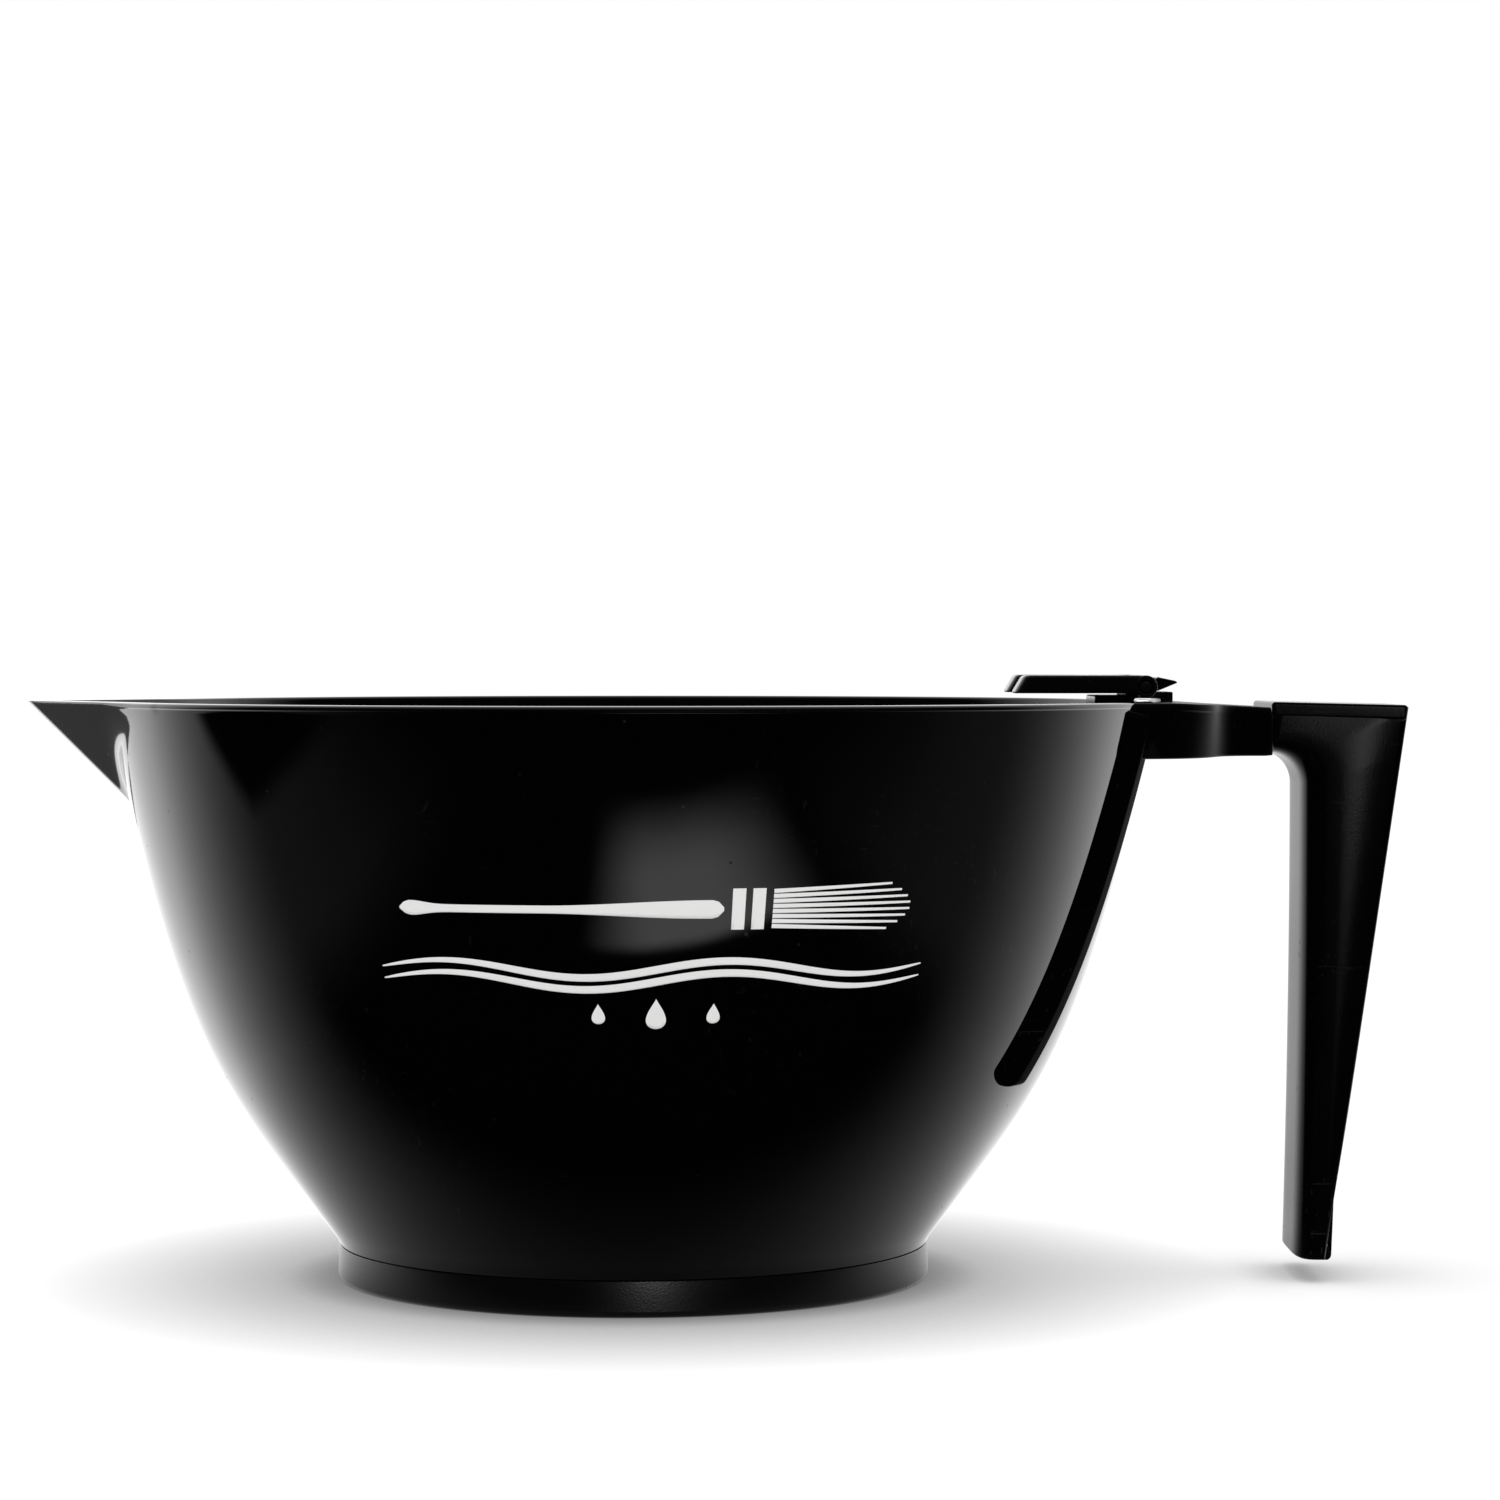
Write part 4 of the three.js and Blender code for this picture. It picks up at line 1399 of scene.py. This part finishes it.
    def oval(self, nose_x: float, end_x: float, half: float, depth: float) -> np.ndarray:
        """An outline in plan: straight sides closed by a half oval on the finger side.

        Args:
            nose_x: X of the oval's middle, on the finger side.
            end_x: X at which the sides end.
            half: half width of the outline.
            depth: how far the oval reaches along X.

        Returns:
            Points of [X, Y].
        """
        a = np.linspace(-math.pi / 2, math.pi / 2, 25)
        power = 2 / self.nose_fullness
        side = half * np.sign(a) * np.abs(np.sin(a)) ** power
        nose = np.stack([nose_x + depth * (1 - np.cos(a) ** power), side], axis=1)
        return np.concatenate([nose, [[end_x, half], [end_x, -half]]])

    def plates(self) -> list[Shell]:
        """The lid over the grip, its floor, and the cross ribs in the leg.

        Returns:
            One shell for each plate.
        """
        inner = self.half_width - self.skin / 2
        side = self.half_width - self.crown / 3
        end = self.reach - self.lid_set_back
        lid_outline = softened(np.array([
            [self.seam, -side], [end, -side], [end, side], [self.seam, side],
        ]), 0.5, 6)
        lid = Shell.slab(lid_outline, self.top - self.lid, self.top, self.edge, IN_PLAN)
        away = (lid.points[:, 0] - self.seam) / (self.reach - self.seam)
        lid.points[:, 2] -= self.corner_drop * away
        lean = (self.reach - self.foot_x - self.foot_depth) / (self.top - self.low)
        lid.points[:, 0] -= lean * (self.top - lid.points[:, 2]) * smooth_step(away * 4 - 3)
        shells = [lid]
        floor_half = self.foot_half_width - self.crown
        floor = self.oval(self.foot_x + 0.25, self.foot_x + self.foot_depth, floor_half, self.nose_foot)
        shells.append(Shell.slab(floor, self.low + 0.02, self.low + self.skin, 0.3, IN_PLAN))
        for i in range(self.ribs):
            height = self.knee_z + (self.low - self.knee_z) * i / self.ribs
            share = (self.top - height) / (self.top - self.low)
            edge_x = self.reach + (self.foot_x + self.foot_depth - self.reach) * share
            nose = self.nose + (self.nose_foot - self.nose) * share
            outline = self.oval(
                self.nose_x - self.foot_shift * share**2 + self.skin / 2,
                edge_x - self.rib_set_back, inner - 0.4 * share, nose,
            )
            shells.append(Shell.slab(outline, height - self.rib_thickness, height, 0.2, IN_PLAN))
        return shells

    def build(self) -> bpy.types.Object:
        """Makes the grip.

        Returns:
            The grip.
        """
        outer, inner = self.skin_grid(0.0, self.edge), self.skin_grid(self.skin, self.edge)
        shell = Shell.thick_sheet(outer, inner, self.edge)
        return Piece(
            "handle_grip_moulding", [shell, *self.plates()], GRIP_FINISH.material(), Slot.HANDLE,
            stands_for=("handle_grip",), mirrored=False,
        ).make()


# ---------------------------------------------------------------- hinge, bracket and rest


@dataclass
class RestAssembly:
    """The hinged brush rest, the pin it turns on and the bracket that clips over the rim."""

    bowl: Bowl
    cradle: Cradle
    knuckle_radius: float = 1.4
    bore_room: float = 0.15
    hinge_room: float = 0.4
    bevel: float = 1.3
    notch_half: float = 4.5
    notch_depth: float = 9.0
    plate_edge: float = 0.35
    plate_corner: float = 1.6
    thickness: float = 2.2
    lip_thickness: float = 2.8
    lip_depth: float = 4.0
    shelf_reach: float = 2.4
    shelf_thickness: float = 1.2
    saddle: float = 0.8
    latch: float = 1.5
    tip_drop: float = 0.7
    barb: float = 1.0
    ledge_start: float = 1.8
    ledge_reach: float = 4.4
    ledge_top: float = 1.2
    ledge_tip: float = 0.45

    def __post_init__(self) -> None:
        """Reads the pin, the rest and the bracket from the model."""
        self.pin = node_box("hinge_pin")
        self.rest = node_box("brush_rest")
        self.bracket = node_box("rest_bracket")
        self.centre = self.pin.middle
        self.pin_radius = float(self.pin.high[2] - self.pin.low[2]) / 2
        self.half_width = float(self.rest.high[1])
        self.across = float(self.bracket.high[1])
        self.plate_top = float(self.rest.high[2])
        self.plate_low = self.plate_top - self.thickness

    def plate(self) -> Shell:
        """The flap: a plate with a U notch, whose free edge slants back towards the top.

        Returns:
            The closed shell.
        """
        x0, x1 = float(self.rest.low[0]), float(self.centre[0])
        w, n = self.half_width, self.notch_half
        inner_x = x1 - self.knuckle_radius - self.hinge_room
        gap_y = self.across + SEAT_GAP
        seat = x0 + self.notch_depth - n
        turn = np.linspace(-math.pi / 2, math.pi / 2, 21)
        u_notch = np.stack([seat + n * np.cos(turn), n * np.sin(turn)], axis=1)
        run = [[x1, -w / 2], [x1, -w], [x0, -w], [x0, -n], [seat, -n]]
        near = softened_run(run, self.plate_corner, 7)
        far = near[::-1] * np.array([1, -1])
        back = np.array([
            [x1, gap_y], [inner_x, gap_y], [inner_x, -gap_y], [x1, -gap_y],
        ])
        outline = np.concatenate([near, u_notch, far, back])
        shell = Shell.slab(outline, self.plate_low, self.plate_top, self.plate_edge, IN_PLAN)
        x, z = shell.points[:, 0], shell.points[:, 2]
        front = 1 - smooth_step((x - x0) / (3 * self.bevel))
        shell.points[:, 0] += self.bevel * front * (z - self.plate_low) / self.thickness
        return shell

    def barrel(self, start: float, end: float, outer: float, bore: float) -> Shell:
        """A hollow knuckle about the pin, with softened ends.

        Args:
            start: lowest Y.
            end: highest Y.
            outer: outer radius.
            bore: radius of the bore.

        Returns:
            The closed shell.
        """
        profile = np.array([[outer, start], [outer, end], [bore, end], [bore, start]])
        centre = np.array([self.centre[0], 0.0, self.centre[2]])
        return Shell.spun(softened(profile, 0.18, 4), centre, 48)

    def build_rest(self) -> None:
        """Makes the flap with its two knuckles."""
        bore = self.pin_radius + self.bore_room
        inner = self.across + SEAT_GAP
        shells = [self.plate()]
        for side in (-1, 1):
            start, end = sorted((side * inner, side * self.half_width))
            shells.append(self.barrel(start, end, self.knuckle_radius, bore))
        Piece(
            "brush_rest_flap", shells, REST_FINISH.material(), Slot.REST, body=BODY_FLAP,
            stands_for=("brush_rest",),
        ).make()

    def build_pin(self) -> None:
        """Makes the pin, a wire with rounded ends."""
        reach = float(self.pin.high[1])
        r = self.pin_radius
        half = np.array([
            [0.0, reach], [r * 0.55, reach - 0.02], [r * 0.88, reach - 0.14], [r, reach - 0.35],
        ])
        profile = np.concatenate([half, half[::-1] * np.array([1, -1])])
        angle = np.linspace(0, 2 * math.pi, 40, endpoint=False)[None]
        grid = np.stack([
            self.centre[0] + profile[:, :1] * np.cos(angle),
            profile[:, 1:] * np.ones_like(angle),
            self.centre[2] + profile[:, :1] * np.sin(angle),
        ], axis=-1)
        Piece(
            "hinge_pin_wire", [Shell.from_grid(grid)], PIN_FINISH.material(), Slot.PIN,
            stands_for=("hinge_pin",),
        ).make()

    def saddle_outline(self) -> np.ndarray:
        """The bracket seen from the side.

        It runs from the inner lip and the stop shelf over the rim and down the latch leg.

        Returns:
            Points of [distance from the bowl's axis, Z].
        """
        bowl, cradle = self.bowl, self.cradle
        over = bowl.top + SEAT_GAP
        top = over + self.saddle
        lip_in = bowl.rim_radius - bowl.bead_proud - bowl.wall - self.lip_thickness
        shelf_top = self.plate_low - SEAT_GAP
        shelf_low = shelf_top - self.shelf_thickness
        room = float(self.centre[0]) - self.knuckle_radius - self.hinge_room / 2
        leg_out = bowl.rim_radius + SEAT_GAP + self.latch
        under = cradle.top - cradle.skin - SEAT_GAP
        lip_low = bowl.top - self.lip_depth
        bead_low = bowl.top - bowl.bead_height
        outside = np.array([
            [lip_in, lip_low], [lip_in, shelf_low], [lip_in - self.shelf_reach, shelf_low],
            [lip_in - self.shelf_reach, shelf_top], [room, shelf_top], [room, top],
            [leg_out, top], [leg_out, under], [leg_out + self.barb, under - self.barb / 2],
            [leg_out + self.barb, under - self.barb], [leg_out, under - 2 * self.barb],
            [leg_out, cradle.bottom + self.tip_drop],
            [leg_out - self.latch / 2, cradle.bottom - self.tip_drop],
        ])
        leg_z = np.linspace(cradle.bottom + self.tip_drop / 2, bead_low, 4)
        leg = np.stack([bowl.curve.radius(leg_z, SEAT_GAP), leg_z], axis=1)
        lip_z = np.array([over, lip_low])
        lip_x = bowl.curve.radius(np.minimum(lip_z, bowl.top), -bowl.wall) - SEAT_GAP
        lip = np.stack([lip_x, lip_z], axis=1)
        bead_x = bowl.rim_radius + SEAT_GAP
        over_bead = np.array([[bead_x, bead_low + SEAT_GAP], [bead_x, over]])
        return np.concatenate([outside, leg, over_bead, lip])

    def ledge_outline(self) -> np.ndarray:
        """The middle knuckle and the thumb ledge outside it, seen from the side.

        Returns:
            Points of [X, Z].
        """
        x, z = float(self.centre[0]), float(self.centre[2])
        r = self.knuckle_radius
        turn = np.linspace(math.pi * 0.52, math.pi * 1.5, 22)
        barrel = np.stack([x + r * np.cos(turn), z + r * np.sin(turn)], axis=1)
        tip_x = x + self.ledge_reach
        tail = np.array([
            [x + self.ledge_start, z - r + self.saddle], [tip_x, z + self.ledge_tip],
            [tip_x - 0.25, z + self.ledge_tip + 0.25], [x + self.ledge_start, z + self.ledge_top],
        ])
        return np.concatenate([barrel, softened(tail, 0.2, 4)])

    def build_bracket(self) -> None:
        """Makes the bracket: the saddle that hugs the rim, and the knuckle with its ledge."""
        w = self.across
        saddle = Shell.slab(softened(self.saddle_outline(), 0.2, 4), -w, w, 0.12, AROUND_THE_RIM)
        ledge = Shell.slab(self.ledge_outline(), -w, w, 0.2, FROM_THE_SIDE)
        Piece(
            "rest_bracket_clip", [saddle, ledge], REST_FINISH.material(), Slot.REST,
            stands_for=("rest_bracket",),
        ).make()

    def build(self) -> None:
        """Makes the three pieces."""
        self.build_bracket()
        self.build_rest()
        self.build_pin()


# ---------------------------------------------------------------- studio


@dataclass
class Studio:
    """White floor and surroundings, two soft boxes and a dark card for the gloss, and the camera.

    Shiny surfaces see the studio as it is: lit brightly behind the object, and dark on the
    camera's side, where the floor carries one soft patch of light.
    """

    floor_size: float = 8.0
    # The floor's glow and the five settings after it paint the object's shadow on the floor: the glow
    # is dimmed where ambient occlusion finds the object near.
    glow: float = 0.05
    shadowed_glow: float = 0.95
    contact_reach: float = 0.034
    contact_lean: tuple[float, float, float] = (0.0, 0.7, 0.71)
    close_reach: float = 0.009
    contact_shade_level: float = 0.55
    paint: float = 0.06
    back_level: float = 1.55
    patch_level: float = 1.25
    flag_distance: float = 9.0
    flag_level: float = 0.14
    camera_place: tuple[float, float, float] = (0.00465, -0.525, 0.077)
    camera_fall: float = 1.277
    focal_length: float = 101.2

    def light_paths(self, n: Nodes) -> tuple[bpy.types.NodeSocket, bpy.types.NodeSocket]:
        """Tells the kinds of ray apart.

        Args:
            n: the node tree that asks.

        Returns:
            A socket that is 1 for rays from the camera or through clear stuff, and one that is
            1 for mirrored rays.
        """
        path = n.add("ShaderNodeLightPath").outputs
        direct = n.math("MAXIMUM", path["Is Camera Ray"], path["Is Transmission Ray"])
        return direct, path["Is Glossy Ray"]

    def surroundings(self) -> None:
        """Everything beyond the floor: white to the camera, and an even white light.

        Mirrored, it rises from dark at Y = 0 to its full level at Y = 0.6 of the direction, fades
        with height, and has a pale ceiling.
        """
        world = bpy.data.worlds.new("studio")
        bpy.context.scene.world = world
        world.use_nodes = True
        n = Nodes(world.node_tree)
        toward = n.add("ShaderNodeTexCoord").outputs["Generated"]
        parts = n.add("ShaderNodeSeparateXYZ", {"Vector": toward}).outputs
        behind = n.ramp(parts["Y"], -0.02, 0.6, 0.02, self.back_level)
        height = n.ramp(parts["Z"], 0.15, 0.8, 1.0, 0.35)
        ceiling = n.ramp(parts["Z"], 0.45, 0.95, 0.0, 0.3)
        mirrored = n.math("ADD", n.math("MULTIPLY", behind, height), ceiling)
        _, glossy = self.light_paths(n)
        excess = n.math("MULTIPLY", n.math("SUBTRACT", mirrored, 1.0), glossy)
        level = n.math("ADD", excess, 1.0)
        back = n.add("ShaderNodeBackground", {"Color": WHITE, "Strength": level})
        n.add("ShaderNodeOutputWorld", {"Surface": back.outputs[0]})

    def mirrored_floor(self, n: Nodes) -> bpy.types.NodeSocket:
        """How bright the floor looks in a mirror.

        With a the distance from the bowl's axis along X, the light starts at y = -52 mm and is
        full at y = 50 mm + 0.85 (a - 90 mm). A faint skirt of light comes further forward on
        both sides. On the spout's side there is a dark wedge far out, and in front of the bowl
        there is one soft patch.

        Args:
            n: the floor's node tree.

        Returns:
            The brightness as a socket.
        """
        place = n.add("ShaderNodeTexCoord").outputs["Object"]
        parts = n.add("ShaderNodeSeparateXYZ", {"Vector": place}).outputs
        x, y = n.math("SUBTRACT", parts["X"], AXIS_X * METRES), parts["Y"]
        aside = n.math("ABSOLUTE", x)
        beyond = n.math("MAXIMUM", n.math("SUBTRACT", aside, 0.09), 0.0)
        full_at = n.math("ADD", n.math("MULTIPLY", beyond, 0.85), 0.05)
        share = n.ramp(y, -0.052, full_at, 0.0, 1.0)
        most = n.ramp(x, -0.1, 0.1, self.back_level, self.back_level - 0.25)
        skirt = n.math(
            "MULTIPLY", n.ramp(y, -0.2, -0.05, 0.0, 0.1), n.ramp(aside, 0.08, 0.14, 0.0, 1.0),
        )
        lit = n.math("ADD", n.math("MULTIPLY", share, most), skirt)
        slanted = n.math("ADD", y, n.math("MULTIPLY", x, 0.7))
        wedge = n.math(
            "MAXIMUM", n.ramp(slanted, -0.2, -0.175, 0.0, 1.0), n.ramp(x, -0.24, -0.21, 0.0, 1.0),
        )
        lit = n.math("MULTIPLY", lit, wedge)
        across = n.math(
            "MULTIPLY", n.ramp(x, -0.02, 0.014, 0.0, 1.0), n.ramp(x, 0.035, 0.1, 1.0, 0.0),
        )
        along = n.math(
            "MULTIPLY", n.ramp(y, -0.19, -0.145, 0.0, 1.0), n.ramp(y, -0.122, -0.115, 1.0, 0.0),
        )
        patch = n.math("MULTIPLY", n.math("MULTIPLY", across, along), self.patch_level)
        return n.math("ADD", lit, patch)

    def floor_material(self) -> bpy.types.Material:
        """A pale floor with a painted shadow of the object, darkest where the object nearly touches it.

        Seen directly, it is an even glow, a glow that open surroundings within the contact
        reach let through, which paints the object's shadow, less where it is all but touched,
        which paints the darkest shade, and plain paint lit by the studio.
        Mirrored, it has its own look.

        Returns:
            The material.
        """
        made = bpy.data.materials.new("studio_floor")
        made.use_nodes = True
        n = Nodes(made.node_tree)
        paint = n.add("ShaderNodeBsdfDiffuse", {"Color": (self.paint, self.paint, self.paint, 1)})
        # Painted shadow: the floor's glow is dimmed by ambient occlusion, and more where the object all
        # but touches the floor.
        open_share = n.add(
            "ShaderNodeAmbientOcclusion",
            {"Distance": self.contact_reach, "Normal": self.contact_lean},
            samples=16,
        )
        close_share = n.add("ShaderNodeAmbientOcclusion", {"Distance": self.close_reach}, samples=16)
        # Painted contact shade: darkest where the object nearly touches the floor.
        painted_contact_shade = n.ramp(close_share.outputs["AO"], 0.3, 1.0, self.contact_shade_level, 1.0)
        glow = n.math("MULTIPLY", open_share.outputs["AO"], self.shadowed_glow)
        glow = n.math("MULTIPLY", glow, painted_contact_shade)
        glow = n.math("ADD", glow, self.glow)
        shine = n.add("ShaderNodeEmission", {"Color": WHITE, "Strength": glow})
        seen = n.add("ShaderNodeAddShader", {0: paint.outputs[0], 1: shine.outputs[0]})
        mirrored = n.add("ShaderNodeEmission", {"Color": WHITE, "Strength": self.mirrored_floor(n)})
        plain = n.add("ShaderNodeBsdfDiffuse", {"Color": (0.8, 0.8, 0.8, 1)})
        direct, glossy = self.light_paths(n)
        bounced = n.add(
            "ShaderNodeMixShader", {0: glossy, 1: plain.outputs[0], 2: mirrored.outputs[0]},
        )
        shown = n.add(
            "ShaderNodeMixShader", {0: direct, 1: bounced.outputs[0], 2: seen.outputs[0]},
        )
        n.add("ShaderNodeOutputMaterial", {"Surface": shown.outputs[0]})
        return made

    def floor(self) -> None:
        """Makes the floor, a large square at the height of the ring's tread."""
        half = self.floor_size / 2
        corners = [(-half, -half, 0), (half, -half, 0), (half, half, 0), (-half, half, 0)]
        mesh = bpy.data.meshes.new("floor")
        mesh.from_pydata(corners, [], [(0, 1, 2, 3)])
        mesh.materials.append(self.floor_material())
        floor = bpy.data.objects.new("floor", mesh)
        bpy.context.scene.collection.objects.link(floor)

    def card(self, name: str, corners: np.ndarray, level: float) -> None:
        """A small card that only shows in gloss.

        Args:
            name: name of the card.
            corners: its corners in millimetres about the bowl's axis, shape (n, 3).
            level: how bright it looks.
        """
        mesh = bpy.data.meshes.new(name)
        points = (corners + np.array([AXIS_X, 0.0, 0.0])) * METRES
        mesh.from_pydata(points.tolist(), [], [tuple(range(len(corners)))])
        made = bpy.data.materials.new(name + "_surface")
        made.use_nodes = True
        n = Nodes(made.node_tree)
        shine = n.add("ShaderNodeEmission", {"Color": WHITE, "Strength": level})
        n.add("ShaderNodeOutputMaterial", {"Surface": shine.outputs[0]})
        mesh.materials.append(made)
        card = bpy.data.objects.new(name, mesh)
        bpy.context.scene.collection.objects.link(card)
        card.visible_camera = False
        card.visible_diffuse = False
        card.visible_transmission = False
        card.visible_shadow = False

    def flag(self, bowl: Bowl) -> None:
        """A dark card close to the spout's front side.

        It has the side's own triangle, moved along the way in which the side mirrors the
        camera's view.

        Args:
            bowl: the bowl whose spout it serves.
        """
        way = np.array([-0.517, 0.764, -0.386])
        side = np.array([
            [-bowl.spout_reach, 0.0, bowl.top],
            [bowl.root_x, -bowl.spout_half_width, bowl.top],
            [bowl.root_x - 1.3, 0.0, bowl.top - 14.0],
        ])
        self.card("spout_flag", side + way * self.flag_distance, self.flag_level)

    def soft_box(
        self, name: str, place: tuple[float, float, float], aim: tuple[float, float, float],
        size: tuple[float, float], energy: float, lit: bpy.types.Object,
    ) -> None:
        """A soft box that only shows in the gloss of one piece.

        Args:
            name: name of the lamp.
            place: where it stands.
            aim: the point it faces.
            size: its width and height.
            energy: its power in watts.
            lit: the piece whose gloss it shows in.
        """
        data = bpy.data.lights.new(name, "AREA")
        data.shape = "RECTANGLE"
        data.size, data.size_y = size
        data.energy = energy
        lamp = bpy.data.objects.new(name, data)
        bpy.context.scene.collection.objects.link(lamp)
        toward = np.array(place) - np.array(aim)
        flat = math.hypot(toward[0], toward[1])
        lamp.location = place
        heading = math.atan2(toward[1], toward[0]) + math.pi / 2
        lamp.rotation_euler = (math.atan2(flat, toward[2]), 0, heading)
        lamp.visible_camera = False
        lamp.visible_diffuse = False
        receivers = bpy.data.collections.new(name + "_receivers")
        receivers.objects.link(lit)
        lamp.light_linking.receiver_collection = receivers

    def gloss(self, grip: bpy.types.Object, ring: bpy.types.Object) -> None:
        """The two soft boxes: a tall one for the grip and a low one for the foot ring."""
        self.soft_box("strip_light", (0.3, -0.85, 0.3), (0.08, 0.0, 0.05), (0.09, 0.7), 11.0, grip)
        self.soft_box("low_light", (0.09, -0.7, 0.085), (0.0, 0.0, 0.0), (0.11, 0.06), 0.7, ring)

    def camera(self) -> None:
        """Makes the camera, level with the rim and turned down a little."""
        data = bpy.data.cameras.new("camera")
        data.sensor_width = 36.0
        data.lens = self.focal_length
        data.clip_start = 0.01
        camera = bpy.data.objects.new("camera", data)
        bpy.context.scene.collection.objects.link(camera)
        camera.location = self.camera_place
        camera.rotation_euler = (math.radians(90 - self.camera_fall), 0, 0)
        bpy.context.scene.camera = camera

    def build(self) -> None:
        """Sets the colour view and makes the surroundings, the floor and the camera."""
        bpy.context.scene.view_settings.view_transform = "Standard"
        self.surroundings()
        self.floor()
        self.camera()


def main() -> None:
    """Builds the studio and the object, piece by piece."""
    logging.basicConfig(level=logging.INFO, format="%(name)s %(message)s")
    studio = Studio()
    studio.build()
    bowl = Bowl()
    bowl.build()
    Emblem(bowl).build()
    ring = FootRing().build()
    cradle = Cradle(bowl)
    cradle.build()
    grip = Grip().build()
    RestAssembly(bowl, cradle).build()
    studio.gloss(grip, ring)
    studio.flag(bowl)


if __name__ == "__main__":
    main()
